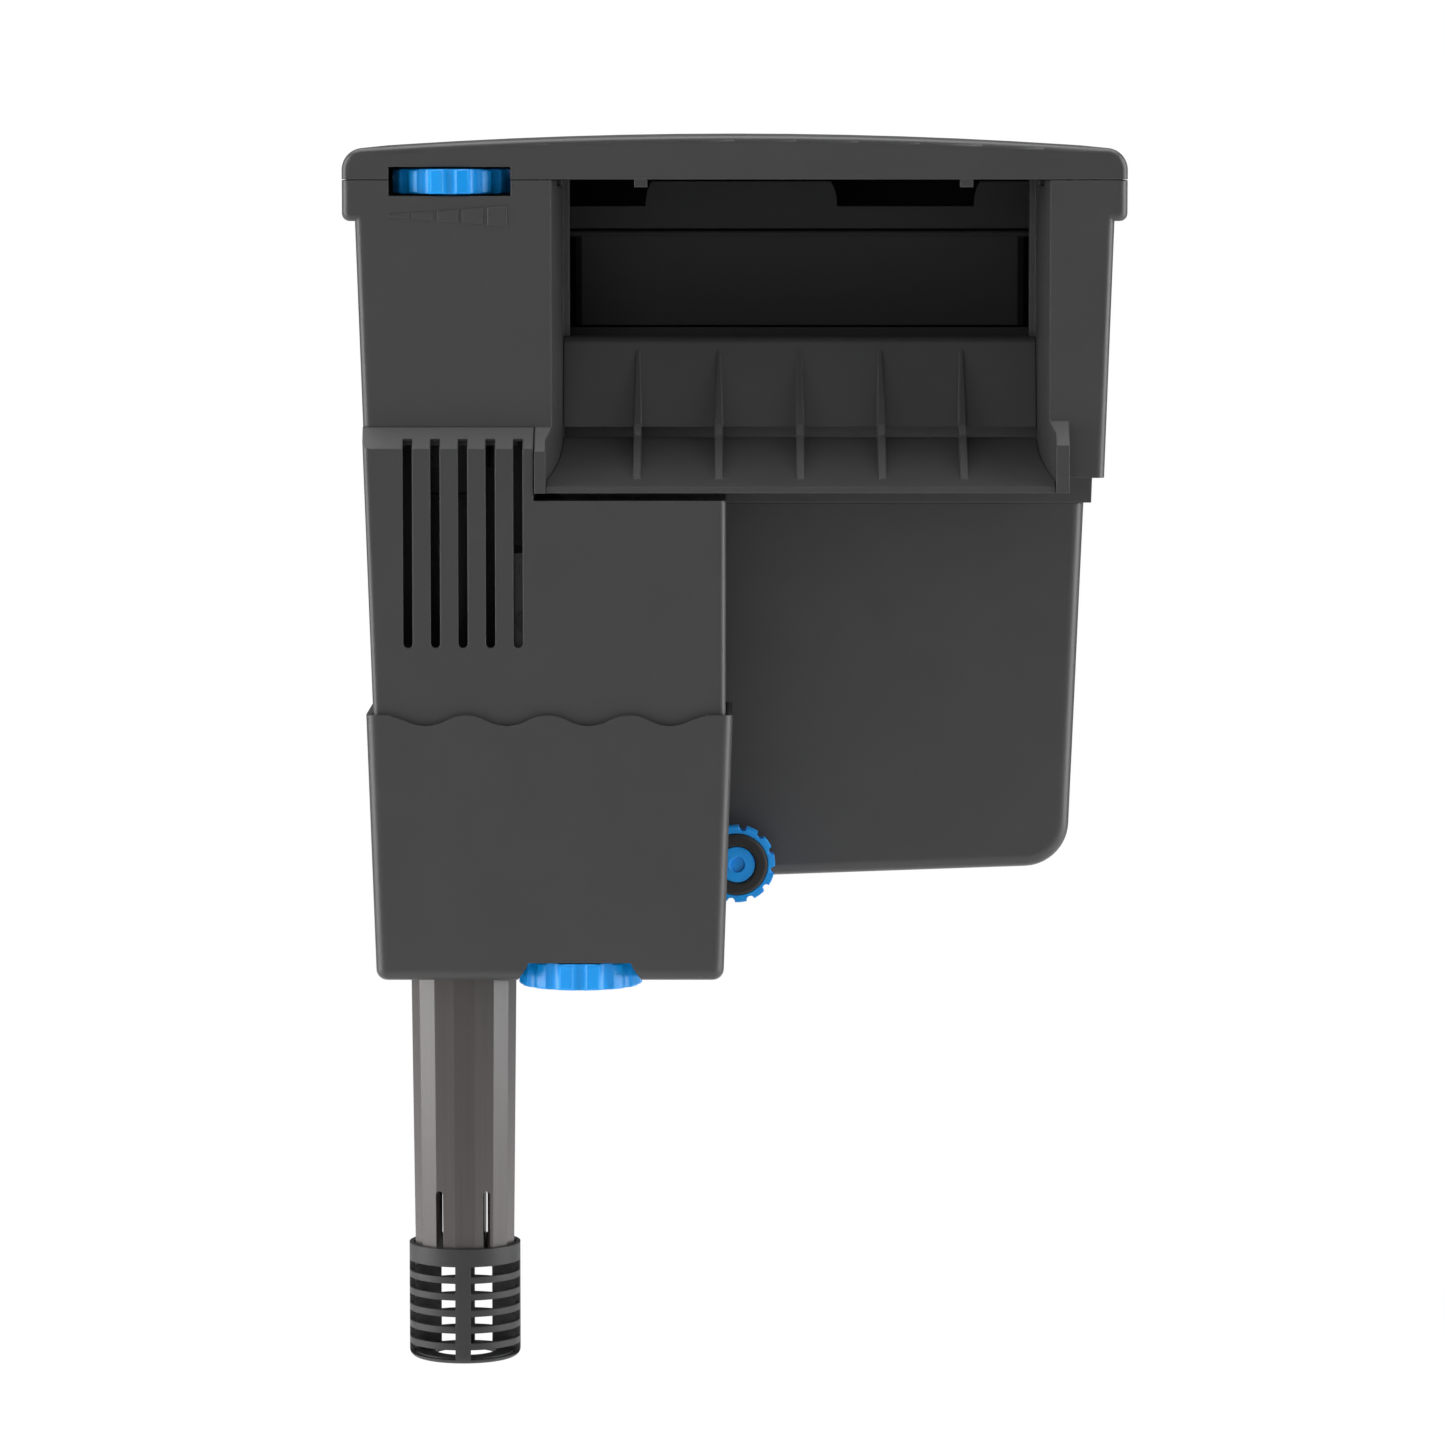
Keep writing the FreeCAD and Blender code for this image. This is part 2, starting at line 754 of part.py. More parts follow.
def make_spill_tray():
    """Ramp, five ribs and sloped tray in one plate that hooks over the weir."""
    head_z = weir_top + tray_seat_gap
    skin = tray_thickness
    hook_y = weir_back + tray_hook_gap
    crown = vec(0, (weir_front + weir_back) / 2, head_z + ramp_crown_height)
    outline = [Part.Arc(vec(0, hook_y + skin, head_z), crown, vec(0, ramp_head_y, head_z)).toShape()]
    corners = [(ramp_head_y, head_z), (ramp_foot_y, ramp_foot_z), (ramp_foot_y + skin, ramp_foot_z),
               (weir_front - tray_hook_gap, head_z - ramp_root_height),
               (weir_front - tray_hook_gap, head_z), (hook_y, head_z), (hook_y, head_z - tray_hook_depth),
               (hook_y + skin, head_z - tray_hook_depth), (hook_y + skin, head_z)]
    for start, finish in zip(corners[:-1], corners[1:]):
        outline.append(Part.LineSegment(vec(0, start[0], start[1]), vec(0, finish[0], finish[1])).toShape())
    ramp = Part.Face(Part.Wire(outline)).extrude(vec(reach, 0, 0))
    ramp.translate(vec(-reach / 2, 0, 0))
    tray_back_y = ramp_foot_y - rest_gap
    tray_back_z = ramp_foot_z - spill_slot_height
    tray = along_x([(tray_back_y, tray_back_z), (lip_y, lip_z), (lip_y, lip_z - skin),
                    (tray_back_y, tray_back_z - skin)], -reach / 2, reach / 2)
    fall = (tray_back_z - lip_z) / (ramp_foot_y - lip_y)
    rib_end_y = lip_y + rib_end_setback
    rib_end_z = tray_back_z - fall * (ramp_foot_y - rib_end_y)
    rib_outline = [(ramp_head_y, head_z - skin / 4), (ramp_foot_y - rib_height, ramp_foot_z + skin / 2),
                   (ramp_foot_y - rib_height * 2, tray_back_z + rib_height / 3),
                   (rib_end_y, rib_end_z), (rib_end_y, rib_end_z - skin / 2),
                   (ramp_foot_y, tray_back_z - skin / 2),
                   (ramp_foot_y + skin / 2, ramp_foot_z + skin / 2),
                   (ramp_head_y + skin / 2, head_z - skin)]
    pieces = [tray]
    for index in range(rib_count):
        middle = opening_middle + (index - (rib_count - 1) / 2) * rib_pitch
        pieces.append(tray_rib(middle, rib_outline, head_z, ramp_foot_z))
    plate = ramp.multiFuse(pieces)
    room = opening_form(tray_side_gap, weir_front, -reach / 2, rim_top)
    room = room.fuse(block(throat_left + tray_side_gap, throat_right - tray_side_gap, weir_front - past,
                           weir_back + tray_hook_depth + skin, 0, rim_top))
    return plate.common(room).removeSplitter()


def lid_form(inset):
    """Crowned cover: a front outline drawn along Y, rounded in plan."""
    half = rim_half_width - inset
    side_top = lid_bottom + lid_side_height - inset
    crown = lid_bottom + lid_crown_height - inset
    radius = lid_corner_radius
    turned = radius * (1 - math.sqrt(0.5))
    right_turn = Part.Arc(vec(half, 0, side_top - radius), vec(half - turned, 0, side_top - turned),
                          vec(half - radius, 0, side_top))
    top = Part.Arc(vec(half - radius, 0, side_top), vec(0, 0, crown), vec(-half + radius, 0, side_top))
    left_turn = Part.Arc(vec(-half + radius, 0, side_top), vec(-half + turned, 0, side_top - turned),
                         vec(-half, 0, side_top - radius))
    left_side = Part.LineSegment(vec(-half, 0, side_top - radius), vec(-half, 0, lid_bottom))
    floor = Part.LineSegment(vec(-half, 0, lid_bottom), vec(half, 0, lid_bottom))
    right_side = Part.LineSegment(vec(half, 0, lid_bottom), vec(half, 0, side_top - radius))
    edges = [curve.toShape() for curve in (right_turn, top, left_turn, left_side, floor, right_side)]
    bar = Part.Face(Part.Wire(Part.__sortEdges__(edges))).extrude(vec(0, reach, 0))
    bar.translate(vec(0, -reach / 2, 0))
    plan = Part.Face(plan_outline(-half - past, half + past, case_front + inset, band_back - inset,
                                  case_front_radius, case_back_radius, lid_bottom - past))
    return bar.common(plan.extrude(vec(0, 0, lid_crown_height + 2 * past)))


def make_lid():
    """Lid shell with a locating lip, two front clips and its half of the knob window."""
    outer = lid_form(0)
    top_edges = edges_where(outer, lambda e: e.BoundBox.ZMin > rim_top + lid_side_height - past
                            and e.BoundBox.XLength > rim_half_width)
    outer = outer.makeFillet(lid_edge_radius, top_edges)
    lid = outer.cut(lid_form(lid_wall))
    lip_inset = case_wall + lid_lip_gap
    lip_low = rim_top - lid_lip_depth
    web_low = lid_bottom + lid_web_bottom
    web_high = web_low + lid_web_thickness
    lip = case_envelope(lip_inset, lip_low, web_high)
    lip = lip.cut(case_envelope(lip_inset + lid_wall, lip_low - past, web_high + past))
    lip = lip.common(block(-reach, reach, lid_lip_front, reach, lip_low, web_high))
    web = lid_form(0).common(block(-reach, reach, lid_lip_front, reach, web_low, web_high))
    web = web.cut(case_envelope(lip_inset, web_low, web_high))
    clips = []
    clip_y = case_front + lid_clip_setback
    for x in (lid_clip_left_x, lid_clip_right_x):
        clips.append(block(x - lid_clip_width / 2, x + lid_clip_width / 2, clip_y, clip_y + lid_wall,
                           rim_top - lid_clip_drop, web_low))
    lid = lid.multiFuse([lip, web] + clips)
    window = block(flow_x - knob_window_half, flow_x + knob_window_half, case_front - past,
                   case_front + lid_wall + 2 * past, lid_bottom - past,
                   knob_bottom + knob_height + knob_window_gap)
    return lid.cut(window)


def make_flow_knob():
    wheel = lobed_wheel(flow_x, flow_y, knob_radius, knob_bottom, knob_bottom + knob_height)
    boss = rod(flow_x, flow_y, knob_boss_radius, deck_top + rest_gap, knob_bottom)
    bore = rod(flow_x, flow_y, stem_radius + press_gap, deck_top, knob_middle)
    return wheel.fuse(boss).cut(bore)


def make_flow_valve():
    """Barrel with one side window, turned by the stem from the knob."""
    low = bridge_floor + duct_floor_wall + rest_gap
    high = duct_top - duct_wall - rest_gap
    roof = high - valve_port_margin
    body = rod(flow_x, flow_y, valve_radius, low, high)
    body = body.cut(rod(flow_x, flow_y, valve_radius - valve_wall, low - past, roof))
    window = sector(flow_x, flow_y, valve_radius - 2 * valve_wall, valve_radius + past,
                    90 - valve_port_half_angle, 90 + valve_port_half_angle,
                    low + valve_port_margin, roof - past)
    stem = rod(flow_x, flow_y, stem_radius, roof + past / 2, knob_middle - stem_end_gap)
    return body.cut(window).fuse(stem)


def make_crossover_duct():
    """Valve housing, flat run over the bridge and the leg down into the outer box."""
    left = flow_x - duct_half_width
    right = flow_x + duct_half_width
    floor = bridge_floor
    inner_floor = floor + duct_floor_wall
    roof = duct_top - duct_wall
    socket = riser_radius + duct_wall
    outer = rod(flow_x, flow_y, valve_housing_radius, floor, duct_top)
    outer = outer.multiFuse([block(left, right, flow_y, duct_leg_back, floor, duct_top),
                             block(left, right, duct_leg_front, duct_leg_back, duct_outlet, duct_top),
                             rod(flow_x, flow_y, socket, floor - duct_socket_depth, floor + past)])
    inner = rod(flow_x, flow_y, valve_housing_radius - duct_wall, inner_floor, roof)
    run = block(left + duct_wall, right - duct_wall, flow_y, duct_leg_back - duct_wall, inner_floor, roof)
    leg = block(left + duct_wall, right - duct_wall, duct_leg_front + duct_wall,
                duct_leg_back - duct_wall, duct_outlet - past, roof)
    way_in = rod(flow_x, flow_y, riser_bore, floor, inner_floor + past)
    riser_socket = rod(flow_x, flow_y, riser_radius + running_gap, floor - duct_socket_depth - past,
                       floor + past / 2)
    stem_hole = rod(flow_x, flow_y, stem_radius + running_gap, roof - past, duct_top + past)
    return outer.cut(inner.multiFuse([run, leg, way_in, riser_socket, stem_hole]))


def column_form(inset, z0, z1):
    """Drafted column with a flat back, a sloped shoulder and a lower step on its right."""
    back = column_back - inset
    rings = []
    for z in (z0, z1):
        rings.append(plan_outline(-case_half(z) + inset, column_right - inset, column_front + inset,
                                  back + column_back_skim, column_edge_radius, column_edge_radius, z))
    form = tapered(rings[0], rings[1])
    form = form.cut(block(-reach, reach, back, reach, z0 - past, z1 + past))
    form = form.cut(block(column_step_x - inset, 0, column_front - past, column_back + past,
                          column_step_top - inset, z1 + past))
    lower = inset * column_roof / column_wall
    front_z = shoulder_front_z - lower - shoulder_fall * past
    return form.cut(along_x([(column_front - past, front_z), (case_front, shoulder_back_z - lower),
                             (case_front, z1 + reach), (column_front - past, z1 + reach)], -reach, 0))


def column_slot(index):
    """Skimmer slot, open at the shoulder and round at its foot."""
    x = slot_first_x + index * slot_pitch
    half = slot_width / 2
    y0 = column_front - past
    y1 = column_front + slot_depth
    cutter = block(x - half, x + half, y0, y1, slot_bottom + half, slot_top)
    return cutter.fuse(rod_along_y(x, slot_bottom + half, half, y0, y1))


def make_skirt():
    """Thin skirt below the column that the cover slides over."""
    rings = []
    for depth in (skirt_step, skirt_step + skirt_wall):
        rings.append(plan_outline(-case_half(skirt_bottom) + depth, column_right - depth,
                                  column_front + depth, column_back - skirt_back_step - depth,
                                  column_edge_radius, column_edge_radius, skirt_bottom))
    height = skirt_length + column_roof
    skirt = Part.Face(rings[0]).extrude(vec(0, 0, height))
    return skirt.cut(Part.Face(rings[1]).extrude(vec(0, 0, height)))


def make_pump_housing():
    """Skimmer column: drafted shell with a shoulder, five slots and a skirt for the cover."""
    outer = column_form(0, skirt_top, shoulder_back_z)
    ledge_back = case_front + case_wall
    inner = column_form(column_wall, skirt_top - past, shoulder_back_z)
    inner = inner.cut(block(-reach, 0, column_front, ledge_back, shoulder_back_z - column_wall,
                            shoulder_back_z + past))
    inner = inner.cut(block(-reach, 0, ledge_back, 0, column_step_top + column_room, shoulder_back_z + past))
    pocket = block(-case_half(0) + column_wall, column_step_x - column_wall, ledge_back,
                   column_back - column_wall, column_step_top, shoulder_back_z + past)
    shell = outer.cut(inner).cut(pocket)
    step_top = skirt_top + skirt_shoulder_height
    kept = plan_outline(-case_half(step_top), column_right, column_front, column_back - skirt_back_step,
                        column_edge_radius, column_edge_radius, skirt_top - past)
    kept = Part.Face(kept).extrude(vec(0, 0, skirt_shoulder_height + past))
    shell = shell.common(kept.fuse(block(-reach, 0, column_front - past, 0, step_top, rim_top)))
    tongue_y = ledge_back + tongue_thickness + rest_gap
    tongue_top = shoulder_back_z + tongue_height
    tongue_x = -case_half(shoulder_back_z) + case_wall + rest_gap
    front_tongue = block(slot_first_x - slot_width, slot_first_x - slot_width + tongue_width,
                         ledge_back + rest_gap, tongue_y, shoulder_back_z - tongue_root, tongue_top)
    front_root = block(slot_first_x - slot_width, slot_first_x - slot_width + tongue_width,
                       case_front + column_wall / 4, tongue_y, shoulder_back_z - column_wall, shoulder_back_z)
    left_tongue = block(tongue_x, tongue_x + tongue_thickness, case_front + column_reach,
                        case_front + column_reach + tongue_length, shoulder_back_z - tongue_root, tongue_top)
    shell = shell.multiFuse([make_skirt(), front_tongue, front_root, left_tongue])
    gate = block(flow_x - duct_gate_half, flow_x + duct_gate_half, column_back - column_wall * 2,
                 column_back + past, bridge_floor - rest_gap, shoulder_back_z + past)
    seat = block(-reach, 0, column_back - column_seat_step, 0, skirt_top, -column_seat_top)
    return cut_each(shell, [gate, seat] + [column_slot(index) for index in range(slot_count)])


def cover_left(z):
    return -case_half(z) - cover_gap - cover_wall


def cover_right(z):
    return column_right + cover_gap + cover_wall + (z - cover_top) * case_slope


def cover_form(inset, z0, z1):
    rings = []
    radius = cover_side_radius - inset
    for z in (z0, z1):
        rings.append(plan_outline(cover_left(z) + inset, cover_right(z) - inset,
                                  column_front - cover_back_gap - cover_wall + inset,
                                  column_back - cover_back_gap - inset, radius, radius, z))
    return tapered(rings[0], rings[1])


def wave_cutter():
    """Everything above the scalloped edge of the cover, as arcs that meet in line."""
    half = wave_depth / 2
    middle = cover_top - half
    quarter = wave_period / 4
    start = -case_half_width + wave_from_side - quarter
    edges = []
    x = start
    side = -1
    while x < column_right - wave_from_right:
        edges.append(Part.Arc(vec(x, 0, middle), vec(x + quarter, 0, middle + side * half),
                              vec(x + 2 * quarter, 0, middle)).toShape())
        x += 2 * quarter
        side = -side
    top = cover_top + reach
    path = [vec(x, 0, middle), vec(x + wave_run_out, 0, cover_top), vec(reach, 0, cover_top),
            vec(reach, 0, top), vec(-reach, 0, top), vec(-reach, 0, cover_top),
            vec(start - wave_run_out, 0, cover_top), vec(start, 0, middle)]
    for first, last in zip(path[:-1], path[1:]):
        edges.append(Part.LineSegment(first, last).toShape())
    face = Part.Face(Part.Wire(Part.__sortEdges__(edges)))
    cutter = face.extrude(vec(0, 2 * column_reach, 0))
    cutter.translate(vec(0, column_front - column_reach, 0))
    return cutter


def make_pump_cover():
    """Lower sleeve with a scalloped top edge, tube hole and a well for the selector wheel."""
    outer = cover_form(0, cover_bottom, cover_top)
    bottom_edges = edges_where(outer, lambda e: flat_at_z(e, cover_bottom))
    outer = outer.makeFillet(cover_edge_radius, bottom_edges)
    floor = cover_bottom + cover_floor
    cover = outer.cut(cover_form(cover_wall, floor, cover_top + past))
    wheel_room = selector_radius + selector_well_gap
    roof = selector_top + rest_gap
    well = rod(selector_x, selector_y, wheel_room + selector_well_wall, cover_bottom + past,
               roof + selector_roof)
    cover = cover.fuse(well.common(cover_form(cover_wall / 2, cover_bottom, cover_top)))
    wheel_space = rod(selector_x, selector_y, wheel_room, cover_bottom - past, roof)
    shelf = finger_cut_head + finger_cut_chamfer / 2
    finger_cut = along_y([(selector_x - finger_cut_foot, cover_bottom - past),
                          (selector_x - shelf, roof - finger_cut_chamfer),
                          (selector_x - finger_cut_head, roof), (selector_x + finger_cut_head, roof),
                          (selector_x + shelf, roof - finger_cut_chamfer),
                          (selector_x + finger_cut_foot, cover_bottom - past)],
                         column_front - column_reach, selector_y)
    stem_hole = rod(selector_x, selector_y, selector_stem_radius + running_gap, roof - past,
                    roof + selector_roof + past)
    tube_hole = rod(intake_x, intake_y, guide_bore + rest_gap, cover_bottom - past, floor + past)
    guide_space = rod(intake_x, intake_y, guide_radius + rest_gap / 2, floor, cover_top)
    return cut_each(cover, [wheel_space, finger_cut, stem_hole, tube_hole, guide_space, wave_cutter()])


def make_intake_guide():
    """Fixed guide that the telescoping tube slides in."""
    return tube(intake_x, intake_y, guide_radius, guide_bore, cover_bottom + cover_floor, guide_top)


def make_suction_chamber():
    """Flat chamber that joins the intake guide, the selector barrel and the pump inlet."""
    ring_bore = selector_barrel_radius + rest_gap
    ring_radius = ring_bore + chamber_ring_wall
    left = intake_x - guide_radius - chamber_left_gap
    right = selector_x + ring_radius + chamber_right_gap
    front = column_front + chamber_front_gap
    back = column_back - skirt_back_step - chamber_front_gap
    floor = chamber_bottom + chamber_wall
    roof = chamber_top - chamber_wall
    outer = block(left, right, front, back, chamber_bottom, chamber_top)
    chamber = outer.cut(block(left + chamber_wall, right - chamber_wall, front + chamber_wall,
                              back - chamber_wall, floor, roof))
    ring = tube(selector_x, selector_y, ring_radius, ring_bore, floor - past, roof + past)
    ring = ring.common(outer)
    port_low = floor + chamber_port_margin
    port_high = roof - chamber_port_margin
    half = chamber_port_angle / 2
    for middle in (180, 0):
        ring = ring.cut(sector(selector_x, selector_y, ring_bore - past, ring_radius + 2 * past,
                               middle - half, middle + half, port_low, port_high))
    side_port = block(right - chamber_wall - past, right + past, selector_y - chamber_port_width / 2,
                      selector_y + chamber_port_width / 2, port_low, port_high)
    tube_way = rod(intake_x, intake_y, guide_bore, chamber_bottom - past, floor + past)
    stem_hole = rod(selector_x, selector_y, selector_stem_radius + running_gap, chamber_bottom - past,
                    floor + past)
    pump_way = rod(pump_x, pump_y, inlet_radius, roof - past, chamber_top + past)
    return cut_each(chamber.fuse(ring), [side_port, tube_way, stem_hole, pump_way])


def make_selector_knob():
    wheel = lobed_wheel(selector_x, selector_y, selector_radius, selector_bottom, selector_top)
    bore = rod(selector_x, selector_y, selector_stem_radius + press_gap, selector_top - selector_stem_depth,
               selector_top + past)
    dish = Part.makeCone(selector_dish_radius, selector_dish_floor_radius, selector_dish_depth,
                         vec(selector_x, selector_y, selector_bottom))
    return wheel.cut(bore).cut(dish)


def make_selector_valve():
    """Barrel with a side window that opens to the tube or to the skimmer slots."""
    low = chamber_bottom + chamber_wall + rest_gap
    high = chamber_top - chamber_wall - rest_gap
    body = rod(selector_x, selector_y, selector_barrel_radius, low, high)
    body = body.cut(rod(selector_x, selector_y, selector_barrel_radius - valve_wall, low + valve_wall,
                        high + past))
    half = valve_port_half_angle
    body = body.cut(sector(selector_x, selector_y, selector_barrel_radius - 2 * valve_wall,
                           selector_barrel_radius + past, 180 - half, 180 + half,
                           low + valve_port_margin, high + past))
    stem = rod(selector_x, selector_y, selector_stem_radius,
               selector_top - selector_stem_depth + stem_end_gap, low + past)
    return body.fuse(stem)


def sided_outline(radius, z):
    """Outline of the tube, turned so that a flat and not a corner faces the front."""
    points = []
    for index in range(tube_sides + 1):
        angle = 2 * math.pi / tube_sides * (index + tube_first_side)
        points.append(vec(intake_x + radius * math.cos(angle), intake_y + radius * math.sin(angle), z))
    return Part.makePolygon(points)


def make_intake_tube():
    """Sixteen-sided telescoping tube with four slits that let its end spring into the strainer."""
    body = tapered(sided_outline(tube_bottom_radius, tube_bottom), sided_outline(tube_top_radius, tube_top))
    body = body.cut(rod(intake_x, intake_y, tube_bore, tube_bottom - past, tube_top + past))
    low = tube_bottom - past
    half = tube_slit_width / 2
    high = tube_bottom + tube_slit_height - half
    across = 2 * tube_top_radius
    for angle in (tube_slit_angle, -tube_slit_angle):
        cutter = block(-half, half, -across, across, low, high)
        cutter = cutter.fuse(rod_along_y(0, high, half, -across, across))
        cutter.rotate(vec(0, 0, 0), vec(0, 0, 1), angle)
        cutter.translate(vec(intake_x, intake_y, 0))
        body = body.cut(cutter)
    return body


def strainer_rib(middle, half_angle):
    """Upright rib of the cage, with its place as an angle from the front."""
    return sector(intake_x, intake_y, strainer_radius - 2 * strainer_wall, strainer_radius + past,
                  middle - half_angle - 90, middle + half_angle - 90, strainer_bottom, strainer_top)


def make_strainer():
    """Slotted cage: six rows of slots between a front rib, side ribs and back ribs."""
    outer = rod(intake_x, intake_y, strainer_radius, strainer_bottom, strainer_top)
    outer = outer.makeFillet(strainer_edge_radius,
                             edges_where(outer, lambda e: flat_at_z(e, strainer_bottom)))
    cage = outer.cut(rod(intake_x, intake_y, strainer_radius - strainer_wall,
                         strainer_bottom + strainer_floor, strainer_top + past))
    ribs = [strainer_rib(middle, strainer_rib_half_angle) for middle in (0, 90, 180, 270)]
    ribs += [strainer_rib(side * strainer_back_rib_angle, strainer_back_rib_half_angle)
             for side in (-1, 1)]
    ribs = Part.makeCompound(ribs)
    for row in range(strainer_rows):
        high = strainer_top - strainer_band - row * strainer_pitch
        ring = tube(intake_x, intake_y, strainer_radius + past / 2, strainer_radius - 1.5 * strainer_wall,
                    high - strainer_slot, high)
        cage = cage.cut(ring.cut(ribs))
    floor_hole = rod(intake_x, intake_y, strainer_hole_radius, strainer_bottom - past,
                     strainer_bottom + strainer_floor + past)
    bar = block(intake_x - strainer_hole_bar / 2, intake_x + strainer_hole_bar / 2,
                intake_y - strainer_radius, intake_y + strainer_radius, strainer_bottom - past,
                strainer_bottom + strainer_floor + past)
    return cage.cut(floor_hole.cut(bar))


def make_motor_housing():
    """Resin case of the motor, with the well that the rotor spins in."""
    top = motor_top - motor_wall
    outer = block(motor_left, motor_right, motor_front, motor_back, motor_bottom, top)
    outer = outer.makeFillet(motor_corner_radius, edges_where(outer, lambda e: e.BoundBox.ZLength > past))
    inner = block(motor_left + motor_wall, motor_right - motor_wall, motor_front + motor_wall,
                  motor_back - motor_wall, motor_bottom + motor_wall, motor_top)
    well = rod(pump_x, pump_y, rotor_sleeve, motor_bottom, rotor_well_top + rotor_well_wall)
    bore = rod(pump_x, pump_y, rotor_well_radius, motor_bottom - past, rotor_well_top)
    return outer.cut(inner).fuse(well).cut(bore)


def make_motor_cap():
    """Cap of the motor case, with a collar where its cord enters."""
    cap = block(motor_left, motor_right, motor_front, motor_back, motor_top - motor_wall, motor_top)
    cap = cap.makeFillet(motor_corner_radius, edges_where(cap, lambda e: e.BoundBox.ZLength > past))
    x = motor_right - collar_inset
    y = motor_back - collar_inset
    cap = cap.fuse(rod(x, y, collar_radius, motor_top, motor_top + collar_height))
    return cap.cut(rod(x, y, grommet_bore, motor_top - motor_wall - past, motor_top + collar_height + past))


def make_stator_core():
    """Laminated core: two poles hug the rotor well and the yoke carries the coil."""
    core = block(core_left, core_right, core_front, core_back, core_bottom, core_top)
    low = core_bottom - past
    high = core_top + past
    well_space = rod(pump_x, pump_y, rotor_sleeve + coil_gap, low, high)
    coil_space = block(core_window_left, core_right - core_yoke, core_front + core_yoke,
                       core_back - core_yoke, low, high)
    half = core_air_slot / 2
    air_slot = block(core_left - past, core_window_left + past, pump_y - half, pump_y + half, low, high)
    return cut_each(core, [well_space, coil_space, air_slot])


def make_stator_coil():
    """Coil wound round the yoke of the core."""
    coil = block(core_right - core_yoke - coil_wall, core_right + coil_wall,
                 core_front + core_yoke + rest_gap, core_back - core_yoke - rest_gap,
                 core_bottom - coil_height_past, core_top + coil_height_past)
    coil = coil.makeFillet(coil_edge_radius, edges_where(coil, lambda e: e.BoundBox.YLength > past))
    return coil.cut(block(core_right - core_yoke - coil_gap, core_right + coil_gap, core_front, core_back,
                          core_bottom - coil_gap, core_top + coil_gap))


def make_shaft_bush_upper():
    return tube(pump_x, pump_y, rotor_well_radius - running_gap, shaft_radius + press_gap,
                rotor_well_top - upper_bush_height, rotor_well_top)


def make_shaft_bush_lower():
    low = volute_bottom + bush_floor
    return tube(pump_x, pump_y, bush_radius, shaft_radius + press_gap, low, low + lower_bush_height)


def make_impeller_shaft():
    return rod(pump_x, pump_y, shaft_radius, volute_bottom + bush_floor, rotor_well_top)


def make_rotor_magnet():
    return tube(pump_x, pump_y, magnet_radius, shaft_radius + running_gap, magnet_bottom, magnet_top)


def make_impeller():
    """Hub, back disc and six curved blades."""
    low = volute_bottom + volute_wall + impeller_floor_gap
    high = motor_bottom - impeller_roof_gap
    hub = rod(pump_x, pump_y, impeller_hub_radius, low, magnet_bottom)
    rim = rod(pump_x, pump_y, impeller_radius, low, high)
    pieces = [rod(pump_x, pump_y, impeller_radius, high - impeller_disc, high)]
    for index in range(impeller_blades):
        blade = sector(0, 0, blade_radius - blade_thickness, blade_radius, blade_start_angle,
                       blade_end_angle, low, high)
        blade.translate(vec(0, blade_thickness / 2 - blade_radius, 0))
        blade.rotate(vec(0, 0, 0), vec(0, 0, 1), 360.0 / impeller_blades * index)
        blade.translate(vec(pump_x, pump_y, 0))
        pieces.append(blade.common(rim))
    body = hub.multiFuse(pieces)
    return body.cut(rod(pump_x, pump_y, shaft_radius + running_gap, low - past, magnet_bottom + past))


def make_volute():
    """Pump chamber: round casing, inlet with a bush holder and an outlet to the riser."""
    low = volute_bottom
    floor = low + volute_wall
    half = volute_port_width / 2
    port_low = low + volute_port_rise
    socket_top = motor_bottom + riser_socket_height
    outer = rod(pump_x, pump_y, volute_radius, low, motor_bottom)
    outer = outer.multiFuse([block(flow_x, pump_x, flow_y - half, flow_y + half, low,
                                   motor_bottom - volute_wall),
                             rod(flow_x, flow_y, riser_radius + duct_wall, low, socket_top)])
    inner = rod(pump_x, pump_y, volute_radius - volute_wall, floor, motor_bottom + past)
    port = block(flow_x, pump_x - impeller_radius / 2, flow_y - half + duct_wall, flow_y + half - duct_wall,
                 port_low, port_low + volute_port_height)
    way_up = rod(flow_x, flow_y, riser_bore, floor, socket_top + past)
    riser_socket = rod(flow_x, flow_y, riser_radius + running_gap, motor_bottom - riser_seat - stem_end_gap,
                       socket_top + past)
    body = outer.cut(inner.multiFuse([port, way_up, riser_socket]))
    body = body.cut(rod(pump_x, pump_y, inlet_radius, low - past, floor + past))
    arm = spider_arm_width / 2
    arm_reach = inlet_radius + past
    holder = rod(pump_x, pump_y, bush_radius + bush_holder_wall, low, low + bush_floor + lower_bush_height)
    arms = [block(pump_x - arm_reach, pump_x + arm_reach, pump_y - arm, pump_y + arm, low, floor),
            block(pump_x - arm, pump_x + arm, pump_y - arm_reach, pump_y + arm_reach, low, floor)]
    body = body.fuse(holder.multiFuse(arms))
    return body.cut(rod(pump_x, pump_y, bush_radius, low + bush_floor,
                        low + bush_floor + lower_bush_height + past))


def make_riser_tube():
    return tube(flow_x, flow_y, riser_radius, riser_bore, motor_bottom - riser_seat,
                bridge_floor + rest_gap)


def riser_ring(z):
    """Rubber ring with a round section, stretched over the riser."""
    section = seal_thickness / 2
    return Part.makeTorus(riser_radius + section + running_gap, section, vec(flow_x, flow_y, z))


def make_riser_seal():
    return riser_ring(motor_bottom + riser_socket_height + seal_thickness / 2 + running_gap)


def make_duct_seal():
    return riser_ring(bridge_floor - duct_socket_depth - seal_thickness / 2 - running_gap)


def make_inlet_seal():
    """Flat ring between the suction chamber and the pump inlet."""
    return tube(pump_x, pump_y, inlet_radius + inlet_seal_width, inlet_radius + inlet_seal_gap,
                chamber_top, volute_bottom)


